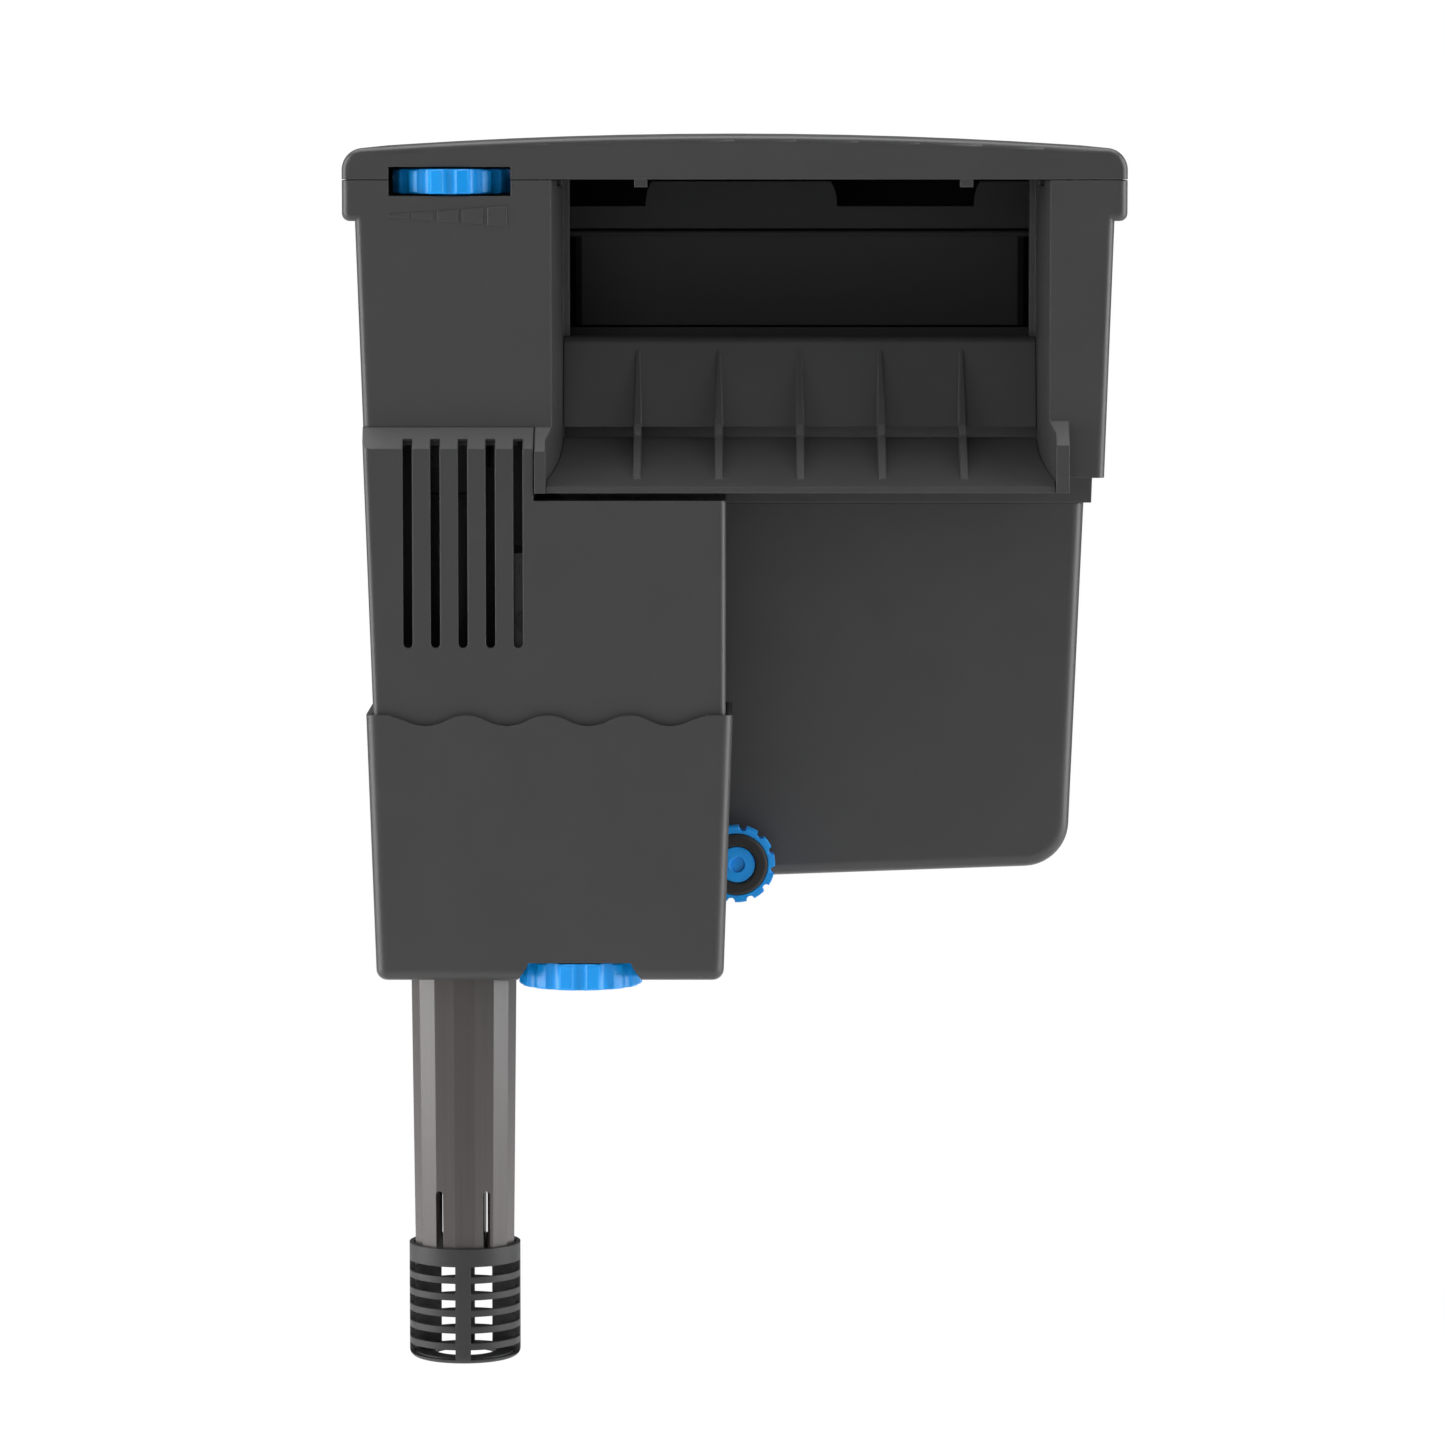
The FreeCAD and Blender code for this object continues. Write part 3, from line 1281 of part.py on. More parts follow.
def make_motor_grommets():
    """Four rubber pads that hold the motor in the column and keep its hum in."""
    pads = []
    for x in (motor_left + motor_pad_inset, motor_right - motor_pad_inset):
        pads.append(rod_along_y(x, motor_pad_z, motor_pad_radius, column_front + column_wall, motor_front))
        pads.append(rod_along_y(x, motor_pad_z, motor_pad_radius, motor_back, column_back - column_wall))
    return Part.makeCompound(pads)


def basket_outline(inset, z):
    """Plan of the basket: a rectangle with its left front corner cut out for the duct."""
    half = basket_half(z) - inset
    front = basket_front + inset
    back = basket_back - (basket_top - z) * basket_slope - inset
    corner_x = flow_x + duct_half_width + basket_notch_clearance + inset
    corner_y = duct_leg_back + basket_notch_clearance + inset
    points = [(corner_x, front), (half, front), (half, back), (-half, back), (-half, corner_y),
              (corner_x, corner_y), (corner_x, front)]
    return Part.makePolygon([vec(x, y, z) for x, y in points])


def basket_form(inset, z0, z1):
    return tapered(basket_outline(inset, z0), basket_outline(inset, z1))


def finger_notch(middle):
    """Notch in the basket's front edge with corners that curve outwards."""
    half = notch_width / 2
    wide = half + notch_flare
    low = basket_top - notch_depth
    high = basket_top + past
    bend = low + notch_bend_height
    y = basket_front - past
    edges = [Part.LineSegment(vec(middle - half, y, low), vec(middle + half, y, low)).toShape(),
             Part.Arc(vec(middle + half, y, low), vec(middle + half + notch_bend_reach, y, bend),
                      vec(middle + wide, y, high)).toShape(),
             Part.LineSegment(vec(middle + wide, y, high), vec(middle - wide, y, high)).toShape(),
             Part.Arc(vec(middle - wide, y, high), vec(middle - half - notch_bend_reach, y, bend),
                      vec(middle - half, y, low)).toShape()]
    return Part.Face(Part.Wire(edges)).extrude(vec(0, basket_wall + 2 * past, 0))


def make_media_basket():
    """Basket with an overflow window, ears for its flap, finger notches and a grid floor."""
    outer = basket_form(0, basket_bottom, basket_top)
    basket = outer.cut(basket_form(basket_wall, basket_bottom + basket_wall, basket_top + past))
    window = block(window_left, window_right, basket_front - past, basket_front + basket_wall + past,
                   window_bottom, window_top)
    ears = [block(x, x + ear_width, flap_pin_y - ear_depth / 2, flap_pin_y + ear_depth / 2,
                  flap_pin_z - ear_height / 2, flap_pin_z + ear_height / 2)
            for x in (window_left - ear_width, window_right)]
    ledges = []
    inside = basket_half(bridge_floor) - basket_wall / 2
    outside = box_half(bridge_floor) - case_wall + ledge_seat
    for x0, x1 in ((-outside, -inside), (inside, outside)):
        ledges.append(block(x0, x1, ledge_front, ledge_back, bridge_floor, bridge_floor + ledge_thickness))
    basket = basket.cut(window).multiFuse(ears + ledges)
    pin_holes = rod_along_x(flap_pin_y, flap_pin_z, flap_pin_radius + running_gap,
                            window_left - ear_width - past, window_right + ear_width + past)
    grid = []
    for index in range(grid_slots):
        x = (index - (grid_slots - 1) / 2) * grid_pitch
        grid.append(block(x - grid_slot_width / 2, x + grid_slot_width / 2, grid_front, grid_back,
                          basket_bottom - past, basket_bottom + basket_wall + past))
    return cut_each(basket, [finger_notch(notch_left_x), finger_notch(notch_right_x), pin_holes,
                             Part.makeCompound(grid)])


def make_basket_flap():
    """Flap with bevelled ends that hangs on two pins and lets the water out over the weir."""
    left = window_left + flap_side_gap
    right = window_right - flap_side_gap
    back = basket_front + basket_wall
    shoulder = back - flap_edge
    bottom = window_bottom + flap_bottom_gap
    top = window_top - flap_top_gap
    outline = [(left, back), (left, shoulder), (left + flap_bevel, basket_front),
               (right - flap_bevel, basket_front), (right, shoulder), (right, back)]
    plate = prism([vec(x, y, bottom) for x, y in outline], vec(0, 0, top - bottom))
    pins = rod_along_x(flap_pin_y, flap_pin_z, flap_pin_radius, window_left - ear_width + rest_gap,
                       window_right + ear_width - rest_gap)
    return plate.fuse(pins)


def media_block(z0, z1):
    """Soft filling of the basket between two heights."""
    return basket_form(basket_wall + soft_gap, z0, z1)


def make_levelling_knob():
    """Scalloped wheel with a hub inside the rubber ring."""
    front = level_wheel_front
    seat = front + level_pad_seat
    wheel = rod_along_y(level_x, level_z, level_radius, front, level_wheel_back)
    cutters = []
    for index in range(level_notches):
        angle = math.radians(360.0 / level_notches * index + level_first_notch)
        cutters.append(rod_along_y(level_x + level_radius * math.cos(angle),
                                   level_z + level_radius * math.sin(angle), level_notch_radius,
                                   front - past, level_wheel_back + past))
    pad_space = rod_along_y(level_x, level_z, level_pad_radius + level_side_gap, front - past, seat)
    wheel = wheel.cut(Part.makeCompound(cutters)).cut(pad_space)
    hub = rod_along_y(level_x, level_z, level_hub_radius, front - level_hub_proud, seat + past / 2)
    dimple = rod_along_y(level_x, level_z, level_dimple_radius, front - past, front + level_hub_proud / 2)
    bore = rod_along_y(level_x, level_z, screw_radius, level_wheel_back - screw_seat, level_wheel_back + past)
    return cut_each(wheel.fuse(hub), [dimple, bore])


def make_levelling_pad():
    """Rubber ring that presses on the glass."""
    pad = rod_along_y(level_x, level_z, level_pad_radius, 0, level_pad_depth)
    pad = pad.cut(rod_along_y(level_x, level_z, level_hub_radius + level_side_gap, -past,
                              level_pad_depth + past))
    return pad.makeFillet(level_pad_edge, edges_where(pad, lambda e: e.BoundBox.YMax < 0.01))


def make_levelling_screw():
    return rod_along_y(level_x, level_z, screw_radius, level_wheel_back - screw_seat, screw_end)


def make_cord_grommet():
    """Rubber bush in the back of the rim where the cord leaves the case."""
    inner_face = case_back + cord_z * case_slope - case_wall
    body = rod_along_y(cord_x, cord_z, grommet_radius, inner_face, band_back)
    flange = rod_along_y(cord_x, cord_z, grommet_radius + grommet_flange, band_back,
                         band_back + grommet_flange)
    return body.fuse(flange).cut(rod_along_y(cord_x, cord_z, grommet_bore, 0, band_back + reach))


def save(name, shape):
    solids = shape.Solids
    result = solids[0] if len(solids) == 1 else Part.makeCompound(solids)
    result.exportStep("parts/" + name + ".step")
    print(name, len(solids), "solids", "valid" if result.isValid() else "NOT VALID")


os.makedirs("parts", exist_ok=True)
save("filter_case", make_filter_case())
save("outer_box", make_outer_box())
save("spill_tray", make_spill_tray())
save("lid", make_lid())
save("flow_knob", make_flow_knob())
save("flow_valve", make_flow_valve())
save("crossover_duct", make_crossover_duct())
save("pump_housing", make_pump_housing())
save("pump_cover", make_pump_cover())
save("intake_guide", make_intake_guide())
save("suction_chamber", make_suction_chamber())
save("selector_knob", make_selector_knob())
save("selector_valve", make_selector_valve())
save("intake_tube", make_intake_tube())
save("strainer", make_strainer())
save("motor_housing", make_motor_housing())
save("motor_cap", make_motor_cap())
save("stator_core", make_stator_core())
save("stator_coil", make_stator_coil())
save("shaft_bush_upper", make_shaft_bush_upper())
save("shaft_bush_lower", make_shaft_bush_lower())
save("impeller_shaft", make_impeller_shaft())
save("rotor_magnet", make_rotor_magnet())
save("impeller", make_impeller())
save("volute", make_volute())
save("riser_tube", make_riser_tube())
save("riser_seal", make_riser_seal())
save("duct_seal", make_duct_seal())
save("inlet_seal", make_inlet_seal())
save("motor_grommets", make_motor_grommets())
save("media_basket", make_media_basket())
save("basket_flap", make_basket_flap())
save("foam_pad", media_block(basket_bottom + basket_wall + soft_gap, foam_top))
save("media_bag", media_block(foam_top + soft_gap, bag_top))
save("fine_pad", media_block(bag_top + soft_gap, fleece_top))
save("levelling_knob", make_levelling_knob())
save("levelling_pad", make_levelling_pad())
save("levelling_screw", make_levelling_screw())
save("cord_grommet", make_cord_grommet())
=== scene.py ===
import bpy
import math
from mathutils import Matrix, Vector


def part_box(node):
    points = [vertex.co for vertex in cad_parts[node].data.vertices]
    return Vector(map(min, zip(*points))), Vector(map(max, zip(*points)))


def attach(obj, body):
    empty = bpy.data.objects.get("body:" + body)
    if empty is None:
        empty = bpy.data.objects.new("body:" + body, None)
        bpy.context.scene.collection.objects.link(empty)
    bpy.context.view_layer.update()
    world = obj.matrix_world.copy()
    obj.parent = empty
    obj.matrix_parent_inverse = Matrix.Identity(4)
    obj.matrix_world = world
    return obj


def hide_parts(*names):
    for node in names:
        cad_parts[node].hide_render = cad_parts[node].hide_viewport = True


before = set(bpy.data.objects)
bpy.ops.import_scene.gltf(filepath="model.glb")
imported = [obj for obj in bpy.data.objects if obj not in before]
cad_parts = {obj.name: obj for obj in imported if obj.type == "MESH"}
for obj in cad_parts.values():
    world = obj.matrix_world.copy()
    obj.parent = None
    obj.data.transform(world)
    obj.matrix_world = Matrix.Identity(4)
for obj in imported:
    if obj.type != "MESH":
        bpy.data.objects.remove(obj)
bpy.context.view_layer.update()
scene = bpy.context.scene


# Case, lid, spill tray, pump column and its cover: black ABS mouldings with a fine spark-eroded grain.
# The grain shows as a faint mottle and the moulded edges are softly rounded, so they catch the light.
class Wire:
    """A shader socket that takes part in plain arithmetic and starts other nodes."""

    def __init__(self, tree, socket=None):
        self.tree = tree
        self.socket = socket

    def node(self, kind, settings, values, output=0):
        made = self.tree.nodes.new("ShaderNode" + kind)
        for name, value in settings.items():
            setattr(made, name, value)
        for name, value in values.items():
            if isinstance(value, Wire):
                self.tree.links.new(value.socket, made.inputs[name])
            else:
                made.inputs[name].default_value = value
        return Wire(self.tree, made.outputs[output])

    def maths(self, operation, *values):
        return self.node("Math", {"operation": operation}, dict(enumerate(values)))

    def __add__(self, other):
        return self.maths("ADD", self, other)

    def __sub__(self, other):
        return self.maths("SUBTRACT", self, other)

    def __rsub__(self, other):
        return self.maths("SUBTRACT", other, self)

    def __mul__(self, other):
        return self.maths("MULTIPLY", self, other)

    def __gt__(self, other):
        return self.maths("GREATER_THAN", self, other)

    __radd__ = __add__
    __rmul__ = __mul__


def new_finish(name):
    """An empty material: its shader, and a wire with the place on the object."""
    material = bpy.data.materials.new(name)
    material.use_nodes = True
    tree = material.node_tree
    shader = tree.nodes["Principled BSDF"]
    place = Wire(tree).node("TexCoord", {}, {}, "Object")
    return material, shader, place


def feed(shader, socket, wire):
    wire.tree.links.new(wire.socket, shader.inputs[socket])


def rounded(place, height, strength, distance, edge):
    """Bump from a height, on edges that look rounded by the given radius."""
    soft_edge = place.node("Bevel", {"samples": 6}, {"Radius": edge})
    return place.node("Bump", {}, {"Strength": strength, "Distance": distance, "Height": height,
                                   "Normal": soft_edge})


def shade_between(place, factor, dark, light):
    ends = {"Factor": factor, "A": (*dark, 1), "B": (*light, 1)}
    return place.node("Mix", {"data_type": "RGBA"}, ends, 2)


def moulding(name, dark, light, rough, edge):
    """Grained moulded plastic that varies between two close shades."""
    material, shader, place = new_finish(name)
    grain = place.node("TexNoise", {}, {"Vector": place, "Scale": 2600.0, "Detail": 2.0})
    cloud = place.node("TexNoise", {}, {"Vector": place, "Scale": 55.0, "Detail": 3.0})
    feed(shader, "Base Color", shade_between(place, cloud * 0.6 + grain * 0.4, dark, light))
    feed(shader, "Roughness", rough + (grain - 0.5) * 0.16 + (cloud - 0.5) * 0.05)
    feed(shader, "Normal", rounded(place, grain, 0.35, 0.00006, edge))
    shader.inputs["IOR"].default_value = 1.46
    return material


def dress(material, *nodes):
    for name in nodes:
        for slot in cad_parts[name].material_slots:
            slot.material = material


case_plastic = moulding("case_plastic", (0.040, 0.040, 0.041), (0.054, 0.054, 0.055), 0.38, 0.0007)
dress(case_plastic, "filter_case", "outer_box", "lid", "spill_tray", "pump_housing", "pump_cover")


# Flow scale on the left block: a wedge in five raised plates, thin for little flow and tall for full flow.
# Moulded with the case, so it has the same plastic and stands 0.3 mm proud of the front face.
def raised_plate(name, outline, face_y, height, bevel):
    """Flat plate with its four corners given as (x, z), raised towards -Y from a face."""
    middle_x = sum(x for x, z in outline) / len(outline)
    middle_z = sum(z for x, z in outline) / len(outline)
    bpy.ops.object.select_all(action="DESELECT")
    bpy.ops.mesh.primitive_plane_add(size=1, location=(middle_x, face_y, middle_z),
                                     rotation=(math.pi / 2, 0, 0))
    bpy.ops.object.transform_apply()
    plate = bpy.context.object
    plate.name = name
    corners = sorted(outline)
    left = sorted(corners[:2], key=lambda c: c[1])
    right = sorted(corners[2:], key=lambda c: c[1])
    for vertex in plate.data.vertices:
        side = left if vertex.co.x < middle_x else right
        x, z = side[0] if vertex.co.z < middle_z else side[1]
        vertex.co = (x, face_y, z)
    bpy.ops.object.mode_set(mode="EDIT")
    bpy.ops.mesh.select_all(action="SELECT")
    bpy.ops.mesh.extrude_region_move(TRANSFORM_OT_translate={"value": (0, -height, 0)})
    bpy.ops.mesh.select_all(action="SELECT")
    bpy.ops.mesh.normals_make_consistent(inside=False)
    bpy.ops.object.mode_set(mode="OBJECT")
    softened = plate.modifiers.new("softened", "BEVEL")
    softened.width = bevel
    softened.segments = 2
    bpy.ops.object.modifier_apply(modifier="softened")
    set_origin_to_world(plate)
    return plate


def set_origin_to_world(piece):
    """Leaves the piece's place in its mesh and its origin at the frame's."""
    bpy.ops.object.select_all(action="DESELECT")
    piece.select_set(True)
    bpy.context.view_layer.objects.active = piece
    bpy.ops.object.transform_apply()


scale_left = -0.1106
scale_middle_z = 0.0837
scale_start = 0.0009
scale_growth = 0.153
scale_plates = ((-0.1106, -0.1036), (-0.1030, -0.0963), (-0.0949, -0.0883), (-0.0871, -0.0804),
                (-0.0790, -0.0727))
plate_root = 0.0001
plate_height = 0.0004
plate_bevel = 0.00012
case_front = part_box("lid")[0][1]
for number, (x0, x1) in enumerate(scale_plates):
    low = (scale_start + (x0 - scale_left) * scale_growth) / 2
    high = (scale_start + (x1 - scale_left) * scale_growth) / 2
    plate = raised_plate("flow_scale_%d" % (number + 1),
                         [(x0, scale_middle_z - low), (x0, scale_middle_z + low),
                          (x1, scale_middle_z - high), (x1, scale_middle_z + high)],
                         case_front + plate_root, plate_height, plate_bevel)
    plate.data.materials.append(case_plastic)
    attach(plate, "case")


# Finger wheels of the flow control and the selector, and the levelling wheel with its screw.
# Glossy translucent blue, dyed through, with fine turning marks from the mould on their rims.
def blue_finish():
    material, shader, place = new_finish("blue_wheel")
    cloud = place.node("TexNoise", {}, {"Vector": place, "Scale": 90.0, "Detail": 2.0})
    marks = place.node("TexNoise", {}, {"Vector": place, "Scale": 1800.0, "Detail": 1.0})
    feed(shader, "Base Color", shade_between(place, cloud, (0.0, 0.30, 0.86), (0.002, 0.38, 0.98)))
    feed(shader, "Roughness", 0.26 + marks * 0.12)
    feed(shader, "Normal", rounded(place, marks, 0.15, 0.00004, 0.0006))
    shader.inputs["Subsurface Weight"].default_value = 0.12
    shader.inputs["Subsurface Radius"].default_value = (0.0004, 0.001, 0.002)
    shader.inputs["IOR"].default_value = 1.5
    return material


dress(blue_finish(), "flow_knob", "selector_knob", "levelling_knob")


# Levelling screw: the same blue plastic with a moulded thread, one turn every 2 mm, that runs in the
# boss of the outer box. The thread is drawn in the bump of the plain shank.
def thread_finish(node, pitch):
    low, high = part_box(node)
    axis_x = (low[0] + high[0]) / 2
    axis_z = (low[2] + high[2]) / 2
    material, shader, place = new_finish("screw_thread")
    x, y, z = (place.node("SeparateXYZ", {}, {"Vector": place}, part) for part in range(3))
    turn = place.maths("ARCTAN2", z - axis_z, x - axis_x)
    ridge = turn.maths("SINE", y * (2 * math.pi / pitch) + turn)
    # Painted shade: the colour is darker in the thread's grooves and lighter on its crests, following the
    # bump.
    painted_thread_shade = ridge * 0.5 + 0.5
    feed(shader, "Base Color", shade_between(place, painted_thread_shade, (0.0, 0.16, 0.5), (0.002, 0.38, 0.98)))
    feed(shader, "Roughness", 0.35 - ridge * 0.05)
    feed(shader, "Normal", rounded(place, ridge, 1.0, 0.0006, 0.0002))
    return material


dress(thread_finish("levelling_screw", 0.002), "levelling_screw")


# Intake tube: smoky, slightly translucent acrylic in sixteen flats, so it looks warmer than the case.
# The extruded flats carry faint streaks along their length.
def smoky_finish():
    material, shader, place = new_finish("smoky_tube")
    along = place.node("Mapping", {}, {"Vector": place, "Scale": (900.0, 900.0, 14.0)})
    streaks = place.node("TexNoise", {}, {"Vector": along, "Scale": 1.0, "Detail": 2.0})
    feed(shader, "Base Color", shade_between(place, streaks, (0.042, 0.036, 0.034), (0.066, 0.056, 0.053)))
    feed(shader, "Roughness", 0.30 + streaks * 0.14)
    feed(shader, "Normal", rounded(place, streaks, 0.2, 0.00003, 0.0004))
    shader.inputs["Coat Weight"].default_value = 0.3
    shader.inputs["Coat Roughness"].default_value = 0.15
    return material


dress(smoky_finish(), "intake_tube")


# Strainer, basket, duct and the inner mouldings: the same family of black plastic, a little darker.
# The basket is thin and matt, the pump's inner parts are smoother.
dark_plastic = moulding("dark_plastic", (0.024, 0.024, 0.025), (0.036, 0.036, 0.037), 0.50, 0.0004)
dress(dark_plastic, "strainer", "crossover_duct", "intake_guide", "suction_chamber", "selector_valve",
      "flow_valve", "volute", "riser_tube", "impeller")
basket_plastic = moulding("basket_plastic", (0.020, 0.020, 0.021), (0.031, 0.031, 0.032), 0.58, 0.0005)
dress(basket_plastic, "media_basket", "basket_flap")


# Rubber: the ring on the levelling wheel, motor pads, seals, bushes and the cord grommet.
# Matt black with a dusty bloom in the hollows of its fine pitting.
def rubber_finish():
    material, shader, place = new_finish("black_rubber")
    pits = place.node("TexNoise", {}, {"Vector": place, "Scale": 1400.0, "Detail": 4.0})
    bloom = place.node("TexNoise", {}, {"Vector": place, "Scale": 160.0, "Detail": 3.0})
    feed(shader, "Base Color", shade_between(place, bloom, (0.010, 0.010, 0.011), (0.024, 0.024, 0.024)))
    feed(shader, "Roughness", 0.66 + pits * 0.25)
    feed(shader, "Normal", rounded(place, pits, 0.5, 0.00008, 0.0004))
    return material


dress(rubber_finish(), "levelling_pad", "motor_grommets", "riser_seal", "duct_seal", "inlet_seal",
      "shaft_bush_upper", "shaft_bush_lower", "cord_grommet")


# Motor: a case of cast resin over a laminated core and a wound coil, with a ferrite rotor on a
# ceramic shaft. The laminations stack along Z and the turns of the coil lie side by side along Y.
def resin_finish():
    material, shader, place = new_finish("cast_resin")
    flow = place.node("TexNoise", {}, {"Vector": place, "Scale": 120.0, "Detail": 3.0, "Distortion": 1.5})
    feed(shader, "Base Color", shade_between(place, flow, (0.014, 0.014, 0.016), (0.030, 0.030, 0.033)))
    feed(shader, "Roughness", 0.22 + flow * 0.2)
    feed(shader, "Normal", rounded(place, flow, 0.25, 0.0002, 0.0005))
    return material


def layered_finish(name, direction, pitch, dark, light, metal, rough):
    """Thin layers stacked in one direction: sheets of steel or turns of wire."""
    material, shader, place = new_finish(name)
    layers = place.node("TexWave", {"wave_type": "BANDS", "bands_direction": direction},
                        {"Vector": place, "Scale": 0.314 / pitch, "Distortion": 0.0})
    uneven = place.node("TexNoise", {}, {"Vector": place, "Scale": 500.0})
    # Colour darker between the layers, where the bump sinks: painted shade in the grooves, and for the
    # steel sheets also the dark joints between them.
    feed(shader, "Base Color", shade_between(place, layers * 0.8 + uneven * 0.2, dark, light))
    feed(shader, "Metallic", metal * (0.9 + uneven * 0.1))
    feed(shader, "Roughness", rough + uneven * 0.15)
    feed(shader, "Normal", rounded(place, layers, 0.7, 0.0001, 0.0002))
    return material


def ferrite_finish():
    material, shader, place = new_finish("ferrite")
    speckle = place.node("TexVoronoi", {}, {"Vector": place, "Scale": 900.0})
    feed(shader, "Base Color", shade_between(place, speckle, (0.035, 0.035, 0.038), (0.085, 0.085, 0.09)))
    feed(shader, "Roughness", 0.45 + speckle * 0.2)
    feed(shader, "Normal", rounded(place, speckle, 0.2, 0.00005, 0.0003))
    shader.inputs["Metallic"].default_value = 0.3
    return material


def ceramic_finish():
    material, shader, place = new_finish("ceramic_shaft")
    cloud = place.node("TexNoise", {}, {"Vector": place, "Scale": 260.0, "Detail": 2.0})
    feed(shader, "Base Color", shade_between(place, cloud, (0.74, 0.72, 0.67), (0.84, 0.83, 0.79)))
    feed(shader, "Roughness", 0.12 + cloud * 0.1)
    return material


dress(resin_finish(), "motor_housing", "motor_cap")
steel_sheets = layered_finish("steel_sheets", "Z", 0.0005, (0.16, 0.16, 0.17), (0.42, 0.42, 0.44), 0.9, 0.3)
dress(steel_sheets, "stator_core")
copper_wire = layered_finish("copper_wire", "Y", 0.0004, (0.30, 0.10, 0.04), (0.72, 0.33, 0.16), 0.95, 0.25)
dress(copper_wire, "stator_coil")
dress(ferrite_finish(), "rotor_magnet")
dress(ceramic_finish(), "impeller_shaft")


# Filter media in the basket, from below: coarse foam, a mesh bag of granules, and a fleece pad.
# Each is soft, swells a little between its edges and lies loose in the basket.
def soft_copy(node, name, voxel, margin, pressure, travel):
    """Swollen copy of a soft solid that stays inside the solid's space."""
    bpy.ops.object.select_all(action="DESELECT")
    pad = bpy.data.objects.new(name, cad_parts[node].data.copy())
    scene.collection.objects.link(pad)
    pad.select_set(True)
    bpy.context.view_layer.objects.active = pad
    bpy.ops.object.mode_set(mode="EDIT")
    bpy.ops.mesh.select_all(action="SELECT")
    bpy.ops.mesh.remove_doubles(threshold=0.00001)
    bpy.ops.object.mode_set(mode="OBJECT")
    low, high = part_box(node)
    middle = [(a + b) / 2 for a, b in zip(low, high)]
    share = [1 - 2 * margin / (b - a) for a, b in zip(low, high)]
    for vertex in pad.data.vertices:
        vertex.co = [m + (c - m) * part for c, m, part in zip(vertex.co, middle, share)]
    grid = pad.modifiers.new("grid", "REMESH")
    grid.mode = "VOXEL"
    grid.voxel_size = voxel
    bpy.ops.object.modifier_apply(modifier="grid")
    swell(pad, pressure, travel)
    finer = pad.modifiers.new("finer", "SUBSURF")
    finer.levels = 1
    finer.render_levels = 1
    bpy.ops.object.modifier_apply(modifier="finer")
    bpy.ops.object.shade_smooth()
    return pad


def swell(pad, pressure, travel):
    """Presses the cloth outwards and lets no point go further than the travel."""
    last_moment = 20
    start = [vertex.co.copy() for vertex in pad.data.vertices]
    cloth = pad.modifiers.new("cloth", "CLOTH")
    cloth.settings.use_pressure = True
    cloth.settings.uniform_pressure_force = pressure
    cloth.settings.effector_weights.gravity = 0
    cloth.settings.quality = 5
    for moment in range(1, last_moment + 1):
        scene.frame_set(moment)
    seen = pad.evaluated_get(bpy.context.evaluated_depsgraph_get())
    pressed = [vertex.co.copy() for vertex in seen.data.vertices]
    pad.modifiers.remove(cloth)
    scene.frame_set(1)
    for vertex, first, last in zip(pad.data.vertices, start, pressed):
        way = last - first
        vertex.co = first + way * min(1.0, travel / max(way.length, 1e-9))


def put_in_basket(pad, node, material):
    pad.data.materials.clear()
    pad.data.materials.append(material)
    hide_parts(node)
    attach(pad, "basket")


def foam_finish():
    material, shader, place = new_finish("open_foam")
    cells = place.node("TexVoronoi", {}, {"Vector": place, "Scale": 620.0})
    uneven = place.node("TexNoise", {}, {"Vector": place, "Scale": 70.0})
    # Painted shade: the colour darkens into each pore, where the bump sinks, with a slight uneven tone on
    # top.
    painted_pore_shade_and_tone = cells * 0.9 + uneven * 0.1
    feed(shader, "Base Color", shade_between(place, painted_pore_shade_and_tone, (0.052, 0.052, 0.056), (0.008, 0.008, 0.01)))
    feed(shader, "Roughness", 0.85 + uneven * 0.1)
    feed(shader, "Normal", place.node("Bump", {}, {"Strength": 1.0, "Distance": 0.0012,
                                                   "Height": 1 - cells}))
    return material


def bag_finish():
    """White net over dark granules."""
    net_pitch = 0.0016
    net_openness = 0.86
    material, shader, place = new_finish("net_bag")
    x, y, z = (place.node("SeparateXYZ", {}, {"Vector": place}, part) for part in range(3))
    step = 2 * math.pi / net_pitch
    one_way = place.maths("ABSOLUTE", place.maths("SINE", (x + z) * step))
    other_way = place.maths("ABSOLUTE", place.maths("SINE", (y + z - x) * step))
    thread = place.maths("SMOOTH_MAX", one_way, other_way, 0.1)
    net = thread > net_openness
    granules = place.node("TexVoronoi", {}, {"Vector": place, "Scale": 260.0})
    # Painted shade: each granule is lighter in its middle and darker towards its edges and between
    # granules, where the bump sinks.
    inside = shade_between(place, granules, (0.10, 0.095, 0.09), (0.02, 0.019, 0.018))
    feed(shader, "Base Color", place.node("Mix", {"data_type": "RGBA"},
                                          {"Factor": net, "A": inside, "B": (0.72, 0.72, 0.70, 1)}, 2))
    feed(shader, "Roughness", 0.7 + net * 0.1)
    feed(shader, "Normal", place.node("Bump", {}, {"Strength": 0.8, "Distance": 0.0006,
                                                   "Height": thread + (1 - granules) * 0.8}))
    return material


def fleece_finish():
    material, shader, place = new_finish("fleece")
    stretched = place.node("Mapping", {}, {"Vector": place, "Scale": (420.0, 900.0, 900.0)})
    fibres = place.node("TexNoise", {}, {"Vector": stretched, "Scale": 1.0, "Detail": 6.0,
                                         "Distortion": 2.5})
    cloud = place.node("TexNoise", {}, {"Vector": place, "Scale": 30.0})
    thickness = fibres * 0.8 + cloud * 0.2
    feed(shader, "Base Color", shade_between(place, thickness, (0.62, 0.62, 0.60), (0.88, 0.88, 0.86)))
    feed(shader, "Roughness", 0.88 + fibres * 0.1)
    feed(shader, "Normal", place.node("Bump", {}, {"Strength": 0.9, "Distance": 0.001, "Height": fibres}))
    return material


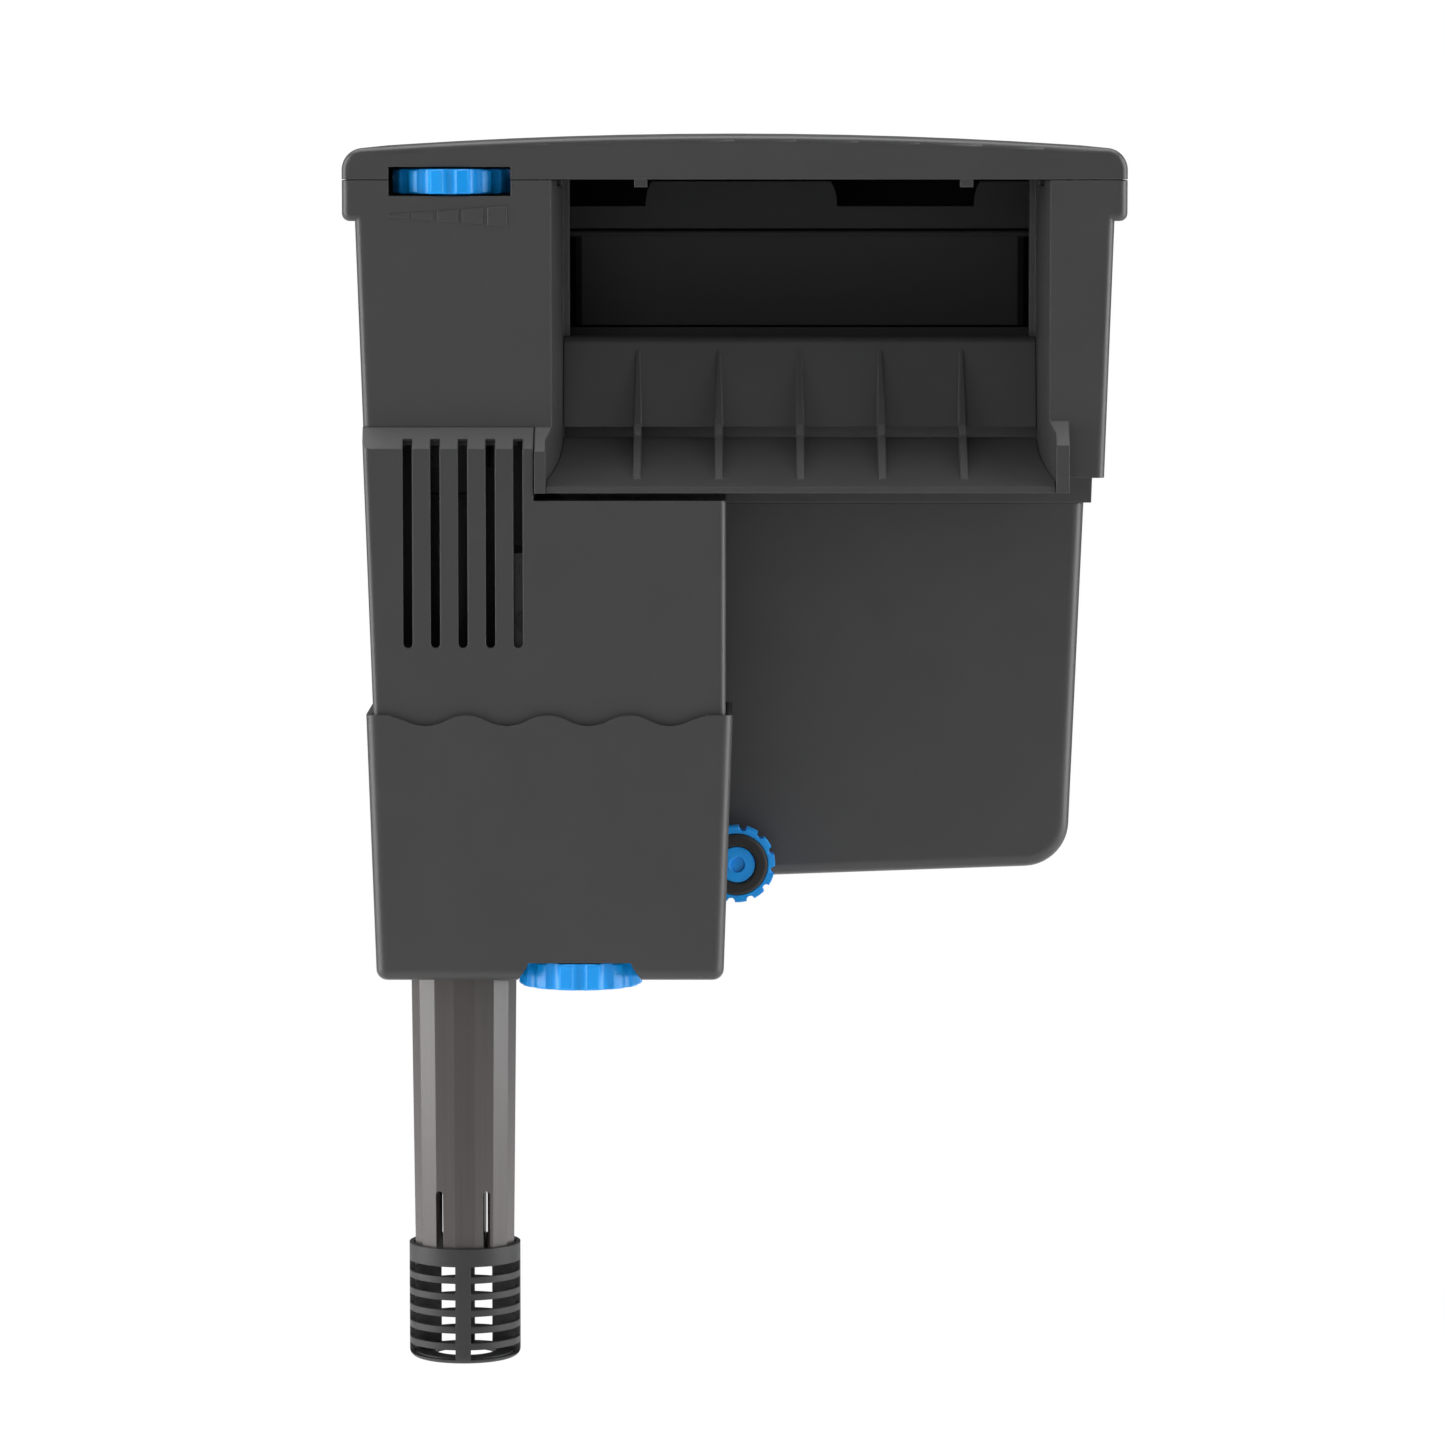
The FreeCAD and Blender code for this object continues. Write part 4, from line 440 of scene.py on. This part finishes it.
coarse_foam = soft_copy("foam_pad", "coarse_foam", 0.005, 0.002, 4.0, 0.0016)
put_in_basket(coarse_foam, "foam_pad", foam_finish())
granule_bag = soft_copy("media_bag", "granule_bag", 0.005, 0.005, 5.0, 0.0045)
put_in_basket(granule_bag, "media_bag", bag_finish())
fleece_pad = soft_copy("fine_pad", "fleece_pad", 0.004, 0.0025, 4.0, 0.002)
put_in_basket(fleece_pad, "fine_pad", fleece_finish())


# Floor, light and camera: a white sweep, low enough for the strainer pulled off the lowered cover, under a
# soft overhead box, with a tall softbox at each side that lights the moulded edges. The camera stands
# straight in front, a little above the rim.
floor_z = -0.372
whitest_from = 0.7
white_share = 0.7
bpy.ops.object.select_all(action="DESELECT")
bpy.ops.mesh.primitive_plane_add(size=12, location=(0, 0, floor_z))
floor = bpy.context.object
floor.name = "floor"
material, shader, place = new_finish("white_floor")
paper = place.node("TexNoise", {}, {"Vector": place, "Scale": 40.0})
feed(shader, "Base Color", shade_between(place, paper, (0.93, 0.93, 0.93), (0.95, 0.95, 0.95)))
shader.inputs["Roughness"].default_value = 0.9
away = place.node("VectorMath", {"operation": "LENGTH"}, {0: place}, 1)
far = place.node("MapRange", {}, {"Value": away, "From Min": 0.3, "From Max": whitest_from})
seen = place.node("LightPath", {}, {}, "Is Camera Ray")
glow = place.node("Emission", {}, {"Color": (1, 1, 1, 1), "Strength": 1.0})
lit = Wire(place.tree, shader.outputs[0])
shown = place.node("MixShader", {}, {0: seen * (far * (1 - white_share) + white_share), 1: lit, 2: glow})
place.tree.links.new(shown.socket, place.tree.nodes["Material Output"].inputs["Surface"])
floor.data.materials.append(material)

world = bpy.data.worlds.new("studio")
scene.world = world
world.use_nodes = True
sky = Wire(world.node_tree)
path = sky.node("LightPath", {}, {}, "Is Camera Ray")
clear = sky.node("LightPath", {}, {}, "Is Transmission Ray")
ambient = sky.node("Background", {}, {"Color": (1, 1, 1, 1), "Strength": 0.16})
white = sky.node("Background", {}, {"Color": (1, 1, 1, 1), "Strength": 1.0})
both = sky.node("MixShader", {}, {0: path.maths("MAXIMUM", path, clear), 1: ambient, 2: white})
world.node_tree.links.new(both.socket, world.node_tree.nodes["World Output"].inputs["Surface"])


def softbox(name, place, aim, width, height, power):
    light = bpy.data.lights.new(name, "AREA")
    light.shape = "RECTANGLE"
    light.size = width
    light.size_y = height
    light.energy = power
    lamp = bpy.data.objects.new(name, light)
    scene.collection.objects.link(lamp)
    lamp.location = place
    away = [p - a for p, a in zip(place, aim)]
    flat = math.hypot(away[0], away[1])
    lamp.rotation_euler = (math.atan2(flat, away[2]), 0, math.atan2(away[1], away[0]) + math.pi / 2)


softbox("overhead", (0.0, 0.1, 1.1), (0.0, 0.0, 0.0), 1.6, 0.9, 17.0)
softbox("front", (-0.4, -2.2, 0.6), (0.0, 0.0, -0.05), 1.2, 1.2, 4.5)
softbox("left_side", (-1.0, -0.15, 0.0), (0.0, -0.1, -0.05), 0.7, 1.6, 17.0)
softbox("right_side", (1.0, -0.15, 0.0), (0.0, -0.1, -0.05), 0.7, 1.6, 17.0)

camera_place = (-0.0039, -2.134, 0.117344)
camera_dip = 5.3831
focal_length = 161.94
lens = bpy.data.cameras.new("photo_camera")
lens.sensor_width = 36.0
lens.lens = focal_length
camera = bpy.data.objects.new("photo_camera", lens)
scene.collection.objects.link(camera)
camera.location = camera_place
camera.rotation_euler = (math.radians(90 - camera_dip), 0, 0)
scene.camera = camera
scene.view_settings.view_transform = "Standard"
